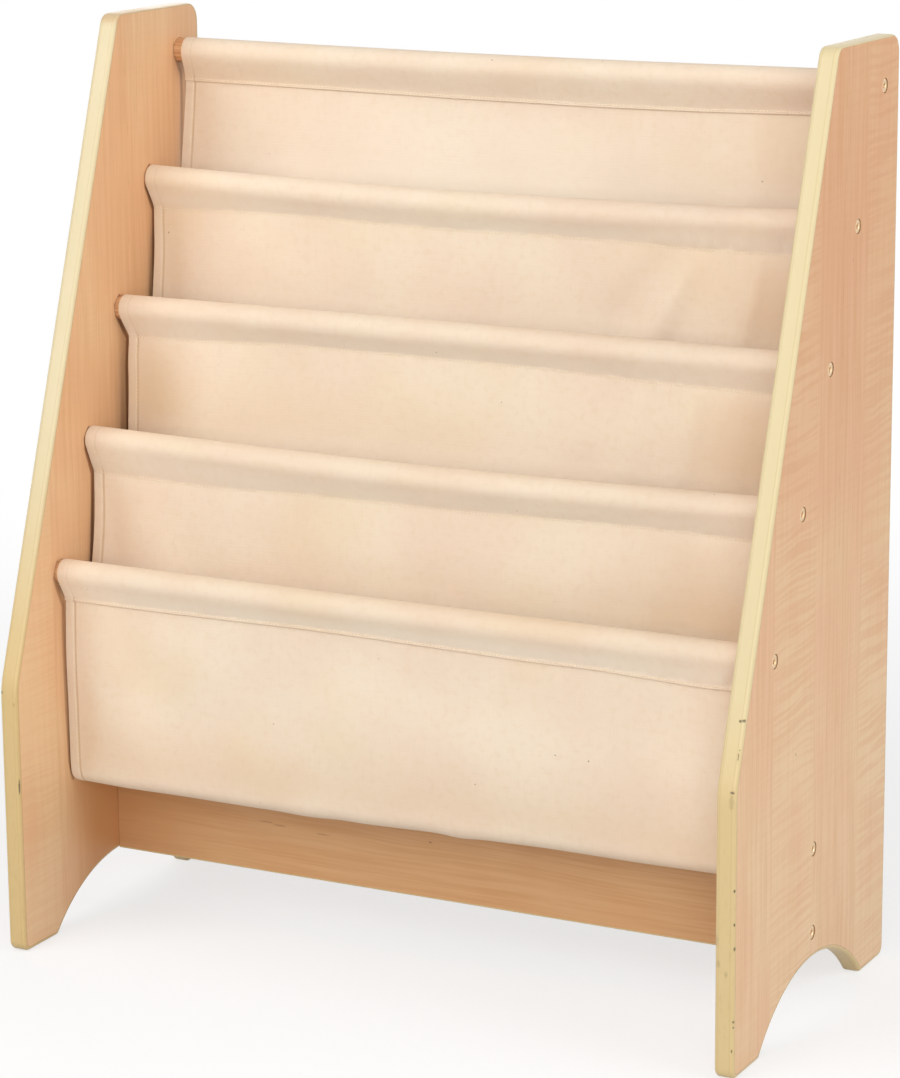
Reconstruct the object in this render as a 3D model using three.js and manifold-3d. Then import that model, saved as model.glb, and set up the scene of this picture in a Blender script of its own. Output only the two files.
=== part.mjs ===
// A child's sling bookshelf: two side panels, a bottom rail and five round rods that carry a canvas sling.
// The canvas is sewn round each rod as a sleeve and hangs from rod to rod as four book pockets.
// Millimetres, +Z up, +X to the right as seen from the front, and the front faces -Y.
// The origin lies on the floor, under the middle of the shelf.

import * as THREE from "three";
import { mergeVertices } from "three/addons/utils/BufferGeometryUtils.js";
import Module from "manifold-3d";

const wasm = await Module();
wasm.setup();

// Overall size
const SHELF_WIDTH = 616; // over the outer faces of the panels
const SHELF_DEPTH = 296;
const SHELF_HEIGHT = 718;

// Fits
const FIT_GAP = 0.3; // between pieces that touch
const CUT_OVERRUN = 2; // how far a cut runs past the face that it opens

// Side panels
const PANEL_THICKNESS = 15;
const FRONT_RISE = 215; // height of the upright front edge, below the slope
const TOP_DEPTH = 123; // length of the level top edge
const EDGE_ROUND = 3; // round-over along both faces
const BEND_RADIUS = 60; // where the upright front turns into the slope
const TOP_FRONT_RADIUS = 12;
const TOP_BACK_RADIUS = 15;
const FOOT_RADIUS = 8; // outer corners of the feet
const SOLE_LENGTH = 48; // from the outer side of a foot to the arch
const TOE_RADIUS = 5; // where a sole meets the arch
const ARCH_RISE = 44.7;

// Rods
const ROD_COUNT = 5;
const ROD_DIAMETER = 19;
const ROD_RECESS_DEPTH = 4; // blind recess in each panel that holds a rod's end
const FIRST_ROD_FROM_FRONT = 69;
const FIRST_ROD_ABOVE_BEND = 78;
const LAST_ROD_FROM_BACK = 30;
const LAST_ROD_BELOW_TOP = 38.5;

// Bottom rail
const RAIL_THICKNESS = 15;
const RAIL_HEIGHT = 105;
const RAIL_EDGE_ROUND = 1.5;
const RAIL_SCREW_INSET = 20; // from the rail's lower and upper edge

// Connecting screws
const SCREW_LENGTH = 50;
const SCREW_HEAD_DIAMETER = 10.5;
const SCREW_HEAD_RIM = 0.6; // upright rim of the head, above its cone
const SCREW_CONE_HEIGHT = 2;
const SCREW_COLLAR_DIAMETER = 7;
const SCREW_THREAD_DIAMETER = 6;
const SCREW_POINT_LENGTH = 4;
const SCREW_SINK = 0.4; // head below the panel's face
const HEX_ACROSS_FLATS = 4;
const HEX_DEPTH = 2.5;

// Canvas sling
const CANVAS_THICKNESS = 1;
const CANVAS_SIDE_GAP = 1.5; // from the canvas's edge to the panel
const SEAM_BELOW_ROD = 13.5; // from the rod's underside to the end of the stitched layers
const SEAM_BEHIND_ROD = 1.6; // from the rod's axis
const SEAM_LENGTH = 4; // stitched layers, lying flat on each other
const POCKET_DROP = 176; // from a rod's axis to the underside of the pocket it carries
const POCKET_BOTTOM_RADIUS = 13.5;
const POCKET_BOTTOM_BEHIND_ROD = 16.2; // middle of the pocket's bottom, from the axis of its front rod
const POCKET_SAG = 5; // how much lower the bottom hangs between its ends
const SAG_SKEW_SHARE = 0.66; // under 1 puts the lowest place left of the middle
const FOLD_DEPTH = 1.6; // soft upright folds of a hanging sheet
const FOLD_COUNT = 2.5;

// Facets
const REVOLVED_SIDES = 16;
const SCREW_SIDES = 12;
const ROUND_STEPS = 3; // across a round-over
const ARCH_STEPS = 20;
const CORNER_STEPS = 5;
const SLEEVE_STEPS = 14; // round a rod
const POCKET_WIDTH_STEPS = 14;
const FRONT_SHEET_STEPS = 5;
const POCKET_BOTTOM_STEPS = 8;
const BACK_SHEET_STEPS = 6;

// Sizes that follow from those above
const PANEL_INNER = SHELF_WIDTH / 2 - PANEL_THICKNESS;
const ROD_RADIUS = ROD_DIAMETER / 2;
const FIRST_ROD = new THREE.Vector2(
  FIRST_ROD_FROM_FRONT - SHELF_DEPTH / 2,
  FRONT_RISE + FIRST_ROD_ABOVE_BEND,
);
const LAST_ROD = new THREE.Vector2(
  SHELF_DEPTH / 2 - LAST_ROD_FROM_BACK,
  SHELF_HEIGHT - LAST_ROD_BELOW_TOP,
);
const ROD_STEP = LAST_ROD.clone().sub(FIRST_ROD).divideScalar(ROD_COUNT - 1);
const RAIL_BOTTOM = ARCH_RISE;
const RAIL_SCREW_HEIGHTS = [
  RAIL_BOTTOM + RAIL_SCREW_INSET,
  RAIL_BOTTOM + RAIL_HEIGHT - RAIL_SCREW_INSET,
];
const CANVAS_WIDTH = 2 * (PANEL_INNER - CANVAS_SIDE_GAP);
const SEAM_END_DROP = ROD_RADIUS + SEAM_BELOW_ROD; // below the rod's axis
const SEAM_START_DROP = SEAM_END_DROP - SEAM_LENGTH;
const SCREW_COLLAR_END = PANEL_THICKNESS - ROD_RECESS_DEPTH - SCREW_SINK - FIT_GAP;

// Materials
const laminate = new THREE.MeshStandardMaterial({ color: 0xdcb083, roughness: 0.45, metalness: 0 });
const railLaminate = new THREE.MeshStandardMaterial({ color: 0xc39263, roughness: 0.45, metalness: 0 });
const rodWood = new THREE.MeshStandardMaterial({ color: 0xb98a5c, roughness: 0.6, metalness: 0 });
const canvas = new THREE.MeshStandardMaterial({ color: 0xecd6b6, roughness: 0.95, metalness: 0 });
const plainCanvas = new THREE.MeshStandardMaterial({ color: 0xe3cbaa, roughness: 0.95, metalness: 0 });
const zincPlate = new THREE.MeshStandardMaterial({ color: 0xc4ab80, roughness: 0.35, metalness: 1 });

// Sections are drawn in the plane of a panel: across is the depth (Y) and up is the height (Z).
const SECTION_TO_SHELF = new THREE.Matrix4().makeBasis(
  new THREE.Vector3(0, 1, 0),
  new THREE.Vector3(0, 0, 1),
  new THREE.Vector3(1, 0, 0),
);

// A closed geometry as a solid that can be cut.
function solidOf(geometry) {
  const bare = geometry.clone();
  bare.deleteAttribute("normal");
  bare.deleteAttribute("uv");
  const merged = mergeVertices(bare);
  return new wasm.Manifold(
    new wasm.Mesh({
      numProp: 3,
      vertProperties: merged.attributes.position.array,
      triVerts: new Uint32Array(merged.index.array),
    }),
  );
}

function geometryOf(solid) {
  const { vertProperties, triVerts } = solid.getMesh();
  const geometry = new THREE.BufferGeometry();
  geometry.setAttribute("position", new THREE.BufferAttribute(vertProperties, 3));
  geometry.setIndex(new THREE.BufferAttribute(triVerts, 1));
  geometry.computeVertexNormals();
  return geometry;
}

function cut(geometry, tools) {
  return geometryOf(tools.reduce((solid, tool) => solid.subtract(solidOf(tool)), solidOf(geometry)));
}

function arc(centre, radius, from, to, steps) {
  const points = [];
  for (let i = 0; i <= steps; i++) {
    const angle = from + ((to - from) * i) / steps;
    points.push(
      new THREE.Vector2(centre.x + radius * Math.cos(angle), centre.y + radius * Math.sin(angle)),
    );
  }
  return points;
}

// The arc that rounds an outline's outer corner, walking anticlockwise from one neighbour to the other.
function roundedCorner(before, corner, after, radius, steps) {
  const back = before.clone().sub(corner).normalize();
  const on = after.clone().sub(corner).normalize();
  const half = Math.acos(back.dot(on)) / 2;
  const centre = back.clone().add(on).normalize();
  centre.multiplyScalar(radius / Math.sin(half)).add(corner);
  const middle = corner.clone().sub(centre).angle();
  const reach = Math.PI / 2 - half;
  return arc(centre, radius, middle - reach, middle + reach, steps);
}

// The angle at which a line from a point touches a circle, on the side that turn (1 or -1) picks.
function tangentAngle(point, centre, radius, turn) {
  const away = point.clone().sub(centre);
  return Math.atan2(away.y, away.x) + turn * Math.acos(radius / away.length());
}

// The section carried along X between two places.
function extrudeAcross(shape, start, end) {
  const geometry = new THREE.ExtrudeGeometry(shape, { depth: end - start, bevelEnabled: false });
  return geometry.applyMatrix4(SECTION_TO_SHELF).translate(start, 0, 0);
}

// A section with rounded rims carried along X between two places.
function roundedExtrudeAcross(shape, start, end, round) {
  const geometry = new THREE.ExtrudeGeometry(shape, {
    depth: end - start - 2 * round,
    bevelThickness: round,
    bevelSize: round,
    bevelOffset: -round,
    bevelSegments: ROUND_STEPS,
  });
  return geometry.applyMatrix4(SECTION_TO_SHELF).translate(start + round, 0, 0);
}

// A profile of radius and place along X, revolved round an axis at a section point.
function revolveAcross(profile, axis, sides) {
  const points = profile.map(([radius, place]) => new THREE.Vector2(radius, place));
  return new THREE.LatheGeometry(points, sides).rotateZ(-Math.PI / 2).translate(0, axis.x, axis.y);
}

function rodAxis(index) {
  return FIRST_ROD.clone().addScaledVector(ROD_STEP, index);
}

function railScrewAxis(index) {
  return new THREE.Vector2(0, RAIL_SCREW_HEIGHTS[index]);
}

const rodIndexes = Array.from({ length: ROD_COUNT }, (_, index) => index);
const pocketIndexes = rodIndexes.slice(0, -1);
const railScrewIndexes = [...RAIL_SCREW_HEIGHTS.keys()];

// Side panel

// Floor to arch to floor: a small round at each toe and one circular arc between them.
function archOutline() {
  const halfSpan = SHELF_DEPTH / 2 - SOLE_LENGTH;
  const radius = (halfSpan ** 2 + ARCH_RISE ** 2) / (2 * ARCH_RISE);
  const centre = new THREE.Vector2(0, ARCH_RISE - radius);
  const toeHeight = TOE_RADIUS - centre.y;
  const toeAcross = Math.sqrt((radius + TOE_RADIUS) ** 2 - toeHeight ** 2);
  const rise = Math.atan2(toeHeight, toeAcross);
  const frontToe = new THREE.Vector2(-toeAcross, TOE_RADIUS);
  const backToe = new THREE.Vector2(toeAcross, TOE_RADIUS);
  return [
    ...arc(frontToe, TOE_RADIUS, -Math.PI / 2, -rise, CORNER_STEPS),
    ...arc(centre, radius, Math.PI - rise, rise, ARCH_STEPS).slice(1, -1),
    ...arc(backToe, TOE_RADIUS, rise - Math.PI, -Math.PI / 2, CORNER_STEPS),
  ];
}

function panelOutline() {
  const front = -SHELF_DEPTH / 2;
  const back = SHELF_DEPTH / 2;
  const corners = {
    frontFoot: new THREE.Vector2(front, 0),
    backFoot: new THREE.Vector2(back, 0),
    topBack: new THREE.Vector2(back, SHELF_HEIGHT),
    topFront: new THREE.Vector2(back - TOP_DEPTH, SHELF_HEIGHT),
    bend: new THREE.Vector2(front, FRONT_RISE),
  };
  const { frontFoot, backFoot, topBack, topFront, bend } = corners;
  return new THREE.Shape([
    ...roundedCorner(bend, frontFoot, backFoot, FOOT_RADIUS, CORNER_STEPS),
    ...archOutline(),
    ...roundedCorner(frontFoot, backFoot, topBack, FOOT_RADIUS, CORNER_STEPS),
    ...roundedCorner(backFoot, topBack, topFront, TOP_BACK_RADIUS, CORNER_STEPS),
    ...roundedCorner(topBack, topFront, bend, TOP_FRONT_RADIUS, CORNER_STEPS),
    ...roundedCorner(topFront, bend, frontFoot, BEND_RADIUS, CORNER_STEPS),
  ]);
}

// Countersunk clearance hole for a screw, from the panel's outer face inwards to a given place.
function screwHole(axis, inner) {
  const outer = SHELF_WIDTH / 2;
  const head = SCREW_HEAD_DIAMETER / 2 + FIT_GAP;
  const collar = SCREW_COLLAR_DIAMETER / 2 + FIT_GAP;
  const coneTop = outer - SCREW_SINK - SCREW_HEAD_RIM - FIT_GAP;
  const profile = [
    [0, inner],
    [collar, inner],
    [collar, coneTop - SCREW_CONE_HEIGHT],
    [head, coneTop],
    [head, outer + CUT_OVERRUN],
    [0, outer + CUT_OVERRUN],
  ];
  return revolveAcross(profile, axis, REVOLVED_SIDES);
}

function rodRecess(axis) {
  const radius = ROD_RADIUS + FIT_GAP;
  const profile = [
    [0, PANEL_INNER - CUT_OVERRUN],
    [radius, PANEL_INNER - CUT_OVERRUN],
    [radius, PANEL_INNER + ROD_RECESS_DEPTH],
    [0, PANEL_INNER + ROD_RECESS_DEPTH],
  ];
  return revolveAcross(profile, axis, REVOLVED_SIDES);
}

// The right panel. The left one is its mirror image.
function sidePanel() {
  const board = roundedExtrudeAcross(panelOutline(), PANEL_INNER, SHELF_WIDTH / 2, EDGE_ROUND);
  const holeEnd = PANEL_INNER - CUT_OVERRUN;
  return cut(board, [
    ...rodIndexes.map((index) => rodRecess(rodAxis(index))),
    ...rodIndexes.map((index) => screwHole(rodAxis(index), holeEnd)),
    ...railScrewIndexes.map((index) => screwHole(railScrewAxis(index), holeEnd)),
  ]);
}

// Rods and bottom rail

// Holes for a screw's thread in both ends of a piece that reaches from -end to end.
function pilotHoles(axis, end) {
  const radius = SCREW_THREAD_DIAMETER / 2 + FIT_GAP;
  const bottom = SHELF_WIDTH / 2 - SCREW_SINK - SCREW_LENGTH - FIT_GAP;
  const profile = [
    [0, bottom],
    [radius, bottom],
    [radius, end + CUT_OVERRUN],
    [0, end + CUT_OVERRUN],
  ];
  const hole = revolveAcross(profile, axis, SCREW_SIDES);
  return [hole, hole.clone().rotateZ(Math.PI).translate(0, 2 * axis.x, 0)];
}

function rod(axis) {
  const end = PANEL_INNER + ROD_RECESS_DEPTH - FIT_GAP;
  const profile = [
    [0, -end],
    [ROD_RADIUS, -end],
    [ROD_RADIUS, end],
    [0, end],
  ];
  return cut(revolveAcross(profile, axis, REVOLVED_SIDES), pilotHoles(axis, end));
}

function bottomRail() {
  const end = PANEL_INNER - FIT_GAP;
  const front = -RAIL_THICKNESS / 2;
  const back = RAIL_THICKNESS / 2;
  const top = RAIL_BOTTOM + RAIL_HEIGHT;
  const corners = [
    new THREE.Vector2(front, RAIL_BOTTOM),
    new THREE.Vector2(back, RAIL_BOTTOM),
    new THREE.Vector2(back, top),
    new THREE.Vector2(front, top),
  ];
  const outline = corners.flatMap((corner, i) => {
    const before = corners.at(i - 1);
    const after = corners[(i + 1) % corners.length];
    return roundedCorner(before, corner, after, RAIL_EDGE_ROUND, ROUND_STEPS);
  });
  const board = extrudeAcross(new THREE.Shape(outline), -end, end);
  return cut(
    board,
    railScrewIndexes.flatMap((index) => pilotHoles(railScrewAxis(index), end)),
  );
}

// Connecting screw for the right panel, with a countersunk head and a hexagon socket.
function connectingScrew(axis) {
  const face = SHELF_WIDTH / 2 - SCREW_SINK;
  const head = SCREW_HEAD_DIAMETER / 2;
  const collar = SCREW_COLLAR_DIAMETER / 2;
  const thread = SCREW_THREAD_DIAMETER / 2;
  const coneTop = face - SCREW_HEAD_RIM;
  const profile = [
    [0, face - SCREW_LENGTH],
    [thread, face - SCREW_LENGTH + SCREW_POINT_LENGTH],
    [thread, face - SCREW_COLLAR_END],
    [collar, face - SCREW_COLLAR_END],
    [collar, coneTop - SCREW_CONE_HEIGHT],
    [head, coneTop],
    [head, face],
    [0, face],
  ];
  const hexRadius = HEX_ACROSS_FLATS / Math.sqrt(3);
  const socket = [
    [0, face - HEX_DEPTH],
    [hexRadius, face - HEX_DEPTH],
    [hexRadius, face + CUT_OVERRUN],
    [0, face + CUT_OVERRUN],
  ];
  return cut(revolveAcross(profile, axis, SCREW_SIDES), [revolveAcross(socket, axis, 6)]);
}

// Canvas sling

// A teardrop round the rod, from one end of the flat seam up over the rod and down to the other.
function teardrop(frontSeam, backSeam, radius) {
  const centre = new THREE.Vector2(0, 0);
  const from = tangentAngle(backSeam, centre, radius, 1);
  const to = tangentAngle(frontSeam, centre, radius, -1) + 2 * Math.PI;
  return [backSeam, ...arc(centre, radius, from, to, SLEEVE_STEPS), frontSeam];
}

function canvasSleeve(axis) {
  const inside = ROD_RADIUS + FIT_GAP;
  const seamFront = SEAM_BEHIND_ROD - CANVAS_THICKNESS;
  const seamBack = SEAM_BEHIND_ROD + CANVAS_THICKNESS;
  const seamTop = new THREE.Vector2(SEAM_BEHIND_ROD, -SEAM_START_DROP);
  const outline = [
    new THREE.Vector2(seamFront, -SEAM_END_DROP),
    new THREE.Vector2(seamBack, -SEAM_END_DROP),
    ...teardrop(
      new THREE.Vector2(seamFront, -SEAM_START_DROP),
      new THREE.Vector2(seamBack, -SEAM_START_DROP),
      inside + CANVAS_THICKNESS,
    ),
  ];
  const section = new THREE.Shape(outline);
  section.holes.push(new THREE.Path(teardrop(seamTop, seamTop, inside).slice(1)));
  const sleeve = extrudeAcross(section, -CANVAS_WIDTH / 2, CANVAS_WIDTH / 2);
  return sleeve.translate(0, axis.x, axis.y);
}

// Middle line of a pocket's section: down from the seam under its front rod, round the bottom and up
// to the seam under its back rod. It is drawn from the front rod's axis, at a share of the width.
function pocketLine(acrossShare, phase) {
  const seamOffset = (CANVAS_THICKNESS + FIT_GAP) / 2;
  const drop = SEAM_END_DROP + FIT_GAP;
  const frontSeam = new THREE.Vector2(SEAM_BEHIND_ROD + seamOffset, -drop);
  const backSeam = new THREE.Vector2(SEAM_BEHIND_ROD - seamOffset, -drop).add(ROD_STEP);
  const sag = POCKET_SAG * Math.sin(Math.PI * acrossShare ** SAG_SKEW_SHARE);
  const bottomHeight = POCKET_BOTTOM_RADIUS - POCKET_DROP - sag + POCKET_SAG;
  const centre = new THREE.Vector2(POCKET_BOTTOM_BEHIND_ROD, bottomHeight);
  const radius = POCKET_BOTTOM_RADIUS - CANVAS_THICKNESS / 2;
  const from = tangentAngle(frontSeam, centre, radius, 1);
  const to = tangentAngle(backSeam, centre, radius, -1) + 2 * Math.PI;
  const bottom = arc(centre, radius, from, to, POCKET_BOTTOM_STEPS);
  const line = [];
  for (let i = 0; i < FRONT_SHEET_STEPS; i++)
    line.push(frontSeam.clone().lerp(bottom[0], i / FRONT_SHEET_STEPS));
  line.push(...bottom);
  for (let i = 1; i <= BACK_SHEET_STEPS; i++)
    line.push(bottom.at(-1).clone().lerp(backSeam, i / BACK_SHEET_STEPS));
  const wave = FOLD_DEPTH * Math.sin(2 * Math.PI * FOLD_COUNT * acrossShare + phase);
  line.forEach((point, i) => {
    point.x += wave * Math.sin((Math.PI * i) / (line.length - 1)) ** 2;
  });
  return line;
}

// The line moved sideways by a distance, to the left as one walks along it.
function offsetLine(line, distance) {
  return line.map((point, i) => {
    const before = line[Math.max(i - 1, 0)];
    const after = line[Math.min(i + 1, line.length - 1)];
    const normal = new THREE.Vector2(before.y - after.y, after.x - before.x).normalize();
    return point.clone().addScaledVector(normal, distance);
  });
}

// Anticlockwise sections of equally many points, joined along X and closed at both ends.
function loftAcross(sections) {
  const count = sections[0].outline.length;
  const positions = sections.flatMap(({ place, outline }) =>
    outline.flatMap((point) => [place, point.x, point.y]),
  );
  const triangles = [];
  for (let s = 0; s + 1 < sections.length; s++) {
    for (let i = 0; i < count; i++) {
      const a = s * count + i;
      const b = s * count + ((i + 1) % count);
      triangles.push(a, b, b + count, a, b + count, a + count);
    }
  }
  const last = (sections.length - 1) * count;
  for (const [a, b, c] of THREE.ShapeUtils.triangulateShape(sections[0].outline, []))
    triangles.push(a, c, b);
  for (const [a, b, c] of THREE.ShapeUtils.triangulateShape(sections.at(-1).outline, []))
    triangles.push(last + a, last + b, last + c);
  const geometry = new THREE.BufferGeometry();
  geometry.setAttribute("position", new THREE.Float32BufferAttribute(positions, 3));
  geometry.setIndex(triangles);
  geometry.computeVertexNormals();
  return geometry;
}

function canvasPocket(index) {
  const sections = [];
  for (let i = 0; i <= POCKET_WIDTH_STEPS; i++) {
    const acrossShare = i / POCKET_WIDTH_STEPS;
    const line = pocketLine(acrossShare, index);
    const outside = offsetLine(line, -CANVAS_THICKNESS / 2);
    const inside = offsetLine(line, CANVAS_THICKNESS / 2);
    sections.push({
      place: (acrossShare - 0.5) * CANVAS_WIDTH,
      outline: [...outside, ...inside.reverse()],
    });
  }
  const axis = rodAxis(index);
  return loftAcross(sections).translate(0, axis.x, axis.y);
}

// Assembly

const shelf = new THREE.Group();

function add(name, geometry, material) {
  const mesh = new THREE.Mesh(geometry, material);
  mesh.name = name;
  shelf.add(mesh);
  return mesh;
}

// The same geometry at the right, and mirrored at the left.
function addPair(nameOf, geometry, material) {
  add(nameOf("right"), geometry, material);
  add(nameOf("left"), geometry, material).scale.x = -1;
}

addPair((side) => `${side}_side_panel`, sidePanel(), laminate);
add("bottom_rail", bottomRail(), railLaminate);

for (const index of rodIndexes) {
  const number = index + 1;
  const axis = rodAxis(index);
  add(`sling_rod_${number}`, rod(axis), rodWood);
  addPair((side) => `rod_screw_${side}_${number}`, connectingScrew(axis), zincPlate);
  add(`canvas_sleeve_${number}`, canvasSleeve(axis), plainCanvas);
}

for (const index of pocketIndexes) add(`canvas_pocket_${index + 1}`, canvasPocket(index), canvas);

for (const index of railScrewIndexes) {
  const screw = connectingScrew(railScrewAxis(index));
  addPair((side) => `rail_screw_${side}_${index + 1}`, screw, zincPlate);
}

export default shelf;
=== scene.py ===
# The looks of a child's sling bookshelf: boards, rods, screws and one long strip of canvas.
# Metres, in the shelf's own frame: +Z up, +X to the right as seen from the front, the front faces -Y.

import math

import bmesh
import bpy
import numpy as np
from mathutils import Matrix, Vector, geometry, noise

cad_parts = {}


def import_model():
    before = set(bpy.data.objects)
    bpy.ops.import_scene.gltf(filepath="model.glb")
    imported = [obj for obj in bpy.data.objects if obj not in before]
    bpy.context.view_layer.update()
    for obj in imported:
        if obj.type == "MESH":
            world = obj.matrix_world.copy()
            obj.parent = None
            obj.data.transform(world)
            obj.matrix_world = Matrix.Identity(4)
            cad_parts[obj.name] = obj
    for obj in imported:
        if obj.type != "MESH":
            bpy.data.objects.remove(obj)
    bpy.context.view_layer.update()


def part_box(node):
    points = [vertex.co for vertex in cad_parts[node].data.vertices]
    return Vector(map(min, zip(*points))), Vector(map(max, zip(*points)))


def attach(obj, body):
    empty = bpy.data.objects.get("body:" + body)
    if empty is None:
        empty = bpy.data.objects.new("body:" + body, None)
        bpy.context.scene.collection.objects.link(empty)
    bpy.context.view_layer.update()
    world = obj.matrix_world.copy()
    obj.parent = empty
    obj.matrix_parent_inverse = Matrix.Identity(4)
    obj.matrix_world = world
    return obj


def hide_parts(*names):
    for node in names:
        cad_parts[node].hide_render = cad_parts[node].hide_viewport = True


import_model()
BODY = "root"
ROD_NUMBERS = range(1, 6)

# Places that the frame gives
PANEL_LOW, PANEL_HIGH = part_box("right_side_panel")
PANEL_INNER, PANEL_OUTER = PANEL_LOW.x, PANEL_HIGH.x
FRONT, BACK, TOP = PANEL_LOW.y, PANEL_HIGH.y, PANEL_HIGH.z
RAIL_LOW, RAIL_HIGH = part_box("bottom_rail")
ROD_BOXES = [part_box(f"sling_rod_{number}") for number in ROD_NUMBERS]
ROD_AXES = [((low + high) / 2).yz for low, high in ROD_BOXES]
ROD_RADIUS = (ROD_BOXES[0][1].y - ROD_BOXES[0][0].y) / 2
ROD_END = ROD_BOXES[0][1].x
SCREW_LOW, SCREW_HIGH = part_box("rod_screw_right_1")
RAIL_SCREW_BOXES = [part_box(f"rail_screw_right_{number}") for number in (1, 2)]
RAIL_SCREW_AXES = [((low + high) / 2).yz for low, high in RAIL_SCREW_BOXES]

# Side panels
FRONT_RISE = 0.215
TOP_DEPTH = 0.123
EDGE_ROUND = 0.003
BEND_RADIUS = 0.060
TOP_FRONT_RADIUS = 0.012
TOP_BACK_RADIUS = 0.015
FOOT_RADIUS = 0.008
SOLE_LENGTH = 0.048
TOE_RADIUS = 0.005
TOP_FRONT_FALL, TOP_BACK_FALL = 0.0012, 0.0030  # the top edge below the full height
TOP_EDGE_SHARE = 0.6  # how much sharper the top edge is rounded
ARCH_RISE = RAIL_LOW.z
RIM_WIDTH = 0.0009  # strip of a flat face beside a round-over or a hole
ROUND_STEPS = 7
OUTLINE_SPACING = 0.012  # between the outline's points on straight stretches
CORNER_STEPS, TOP_FRONT_STEPS, TOP_BACK_STEPS = 10, 12, 14
TOE_STEPS, ARCH_STEPS = 8, 60
HOLE_SIDES = 48
RECESS_DEPTH = 0.004
FIT_GAP = 0.0003
RAIL_ROUND = 0.0015
ROD_CHAMFER = 0.0005

# Screws
HEAD_RADIUS = (SCREW_HIGH.z - SCREW_LOW.z) / 2
HEAD_FACE = SCREW_HIGH.x
HEAD_RIM = 0.0006
CONE_HEIGHT = 0.002
COLLAR_RADIUS = 0.0035
COLLAR_END = 0.0103
THREAD_RADIUS = 0.003
THREAD_DEPTH = 0.0007
THREAD_PITCH = 0.0028
POINT_LENGTH = 0.004
POINT_RADIUS = 0.0006  # of the thread at the very end
LEAST_RADIUS = 0.0004  # of the core there
HEX_ACROSS = 0.004
HEX_DEPTH = 0.0025
HEAD_LIP = 0.00025  # rounding of the head's edges
SCREW_SIDES = 48
THREAD_SIDES = 20
THREAD_RINGS = 5  # in one turn of the thread
PILOT_SIDES = 24

# Canvas strip
CANVAS_HALF = 0.00035  # half the cloth's thickness
FOLDED_HALF = 0.00060  # half the thickness where an edge is folded over and sewn
CANVAS_WIDTH = 0.583
HEM_WIDTH = 0.0085
HEM_EASE = 0.0003  # half the width of the step at a side hem's fold
HEM_STITCH = 0.0070  # from the cloth's side edge to the stitches
HEM_LEAN = 0.0005  # how far the strip's very ends stand forward
STITCH_PITCH = 0.0030
STITCH_LENGTH = 0.0025
THREAD_SIZE = 0.00052
STITCH_SIDES = 6
SEAM_BEHIND_ROD = 0.0016
SEAM_HALF_GAP = 0.00062  # from the middle of a seam to the middle of each layer
SEAM_LENGTH = 0.0018
END_HEMS = {1: 0.0022, 5: 0.0028}  # visible height of the hem where the strip starts and ends
SLEEVE_RADIUS = ROD_RADIUS + 0.0008
POCKET_DROP = 0.1730
POCKET_RADIUS = 0.0130
POCKET_BEHIND_ROD = 0.0162

# Wear, as the photograph shows it: the place on the shelf and the three half sizes, in millimetres
PAINT_KNOCKS = (
    ((304.0, -132.0, 262.6), (1.1, 4.0, 1.0)),
    ((306.6, -131.6, 263.0), (1.2, 4.0, 1.2)),
    ((306.6, -139.5, 243.6), (0.5, 3.0, 0.6)),
    ((306.2, -140.8, 239.0), (0.4, 4.0, 3.4)),
    ((305.2, -148.0, 214.6), (1.7, 3.0, 1.3)),
    ((307.4, -147.0, 142.6), (0.6, 2.0, 1.4)),
    ((307.5, -147.0, 117.4), (0.6, 2.0, 1.2)),
    ((307.6, -146.6, 99.4), (0.5, 2.0, 1.6)),
    ((307.4, -147.0, 44.8), (0.6, 2.0, 1.0)),
    ((307.3, -147.2, 40.6), (0.5, 2.0, 0.9)),
    ((306.6, -147.6, 22.8), (0.5, 2.0, 1.2)),
    ((-306.4, -147.4, 211.0), (1.0, 2.0, 1.2)),
    ((-293.6, -147.2, 135.8), (0.5, 2.0, 6.5)),
)
PAINT_SMEARS = (
    ((304.8, -148.0, 208.0), (2.2, 2.0, 6.0)),
    ((295.8, -148.0, 87.0), (2.0, 2.0, 3.0)),
    ((302.0, -148.0, 80.0), (1.6, 2.0, 2.5)),
    ((294.5, -147.5, 104.2), (1.6, 2.0, 5.0)),
    ((-295.5, -148.0, 202.3), (1.2, 2.0, 1.6)),
)
BOARD_DENTS = (
    ((308.0, -38.0, 213.0), (1.0, 0.6, 1.3)),
    ((308.0, -35.5, 211.5), (1.0, 0.5, 1.0)),
    ((308.0, 60.0, 560.0), (1.0, 1.0, 0.8)),
    ((-7.0, -7.5, 91.0), (1.6, 1.0, 0.9)),
    ((-293.0, -50.0, 78.0), (1.0, 1.2, 0.7)),
)
RAIL_FLECKS = (
    ((-153.5, -7.5, 86.7), (7.5, 1.5, 0.6)),
    ((-142.0, -7.5, 85.2), (6.5, 1.5, 0.7)),
    ((-103.0, -7.5, 83.4), (7.0, 1.5, 0.6)),
)

# Painted shadow: thin dark lines on the left board in the gaps along the canvas's edge, from the first
# rod up: how dark each is, and its places in millimetres from the front to the back and above the floor
CANVAS_GAP_SHADOWS = (
    (0.50, ((-84.0, 301.0), (-89.0, 290.0), (-86.5, 283.0), (-78.4, 266.0), (-79.2, 234.0),
            (-78.2, 180.0), (-76.2, 138.0), (-72.0, 122.5))),
    (0.80, ((-33.5, 398.0), (-38.8, 391.0), (-38.6, 383.0), (-30.4, 362.0), (-31.5, 340.0),
            (-35.3, 290.0))),
    (0.72, ((17.0, 495.0), (11.0, 489.0), (12.4, 481.0), (27.2, 460.5), (24.8, 438.0), (23.6, 386.0))),
    (0.68, ((67.0, 592.0), (60.8, 585.0), (60.8, 577.0), (71.0, 557.0), (70.8, 545.0), (68.2, 486.0))),
    (0.45, ((109.8, 684.0), (109.8, 677.0), (118.6, 661.0), (119.2, 645.0), (117.6, 612.0),
            (116.6, 586.0))),
)


# Small helpers


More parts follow.
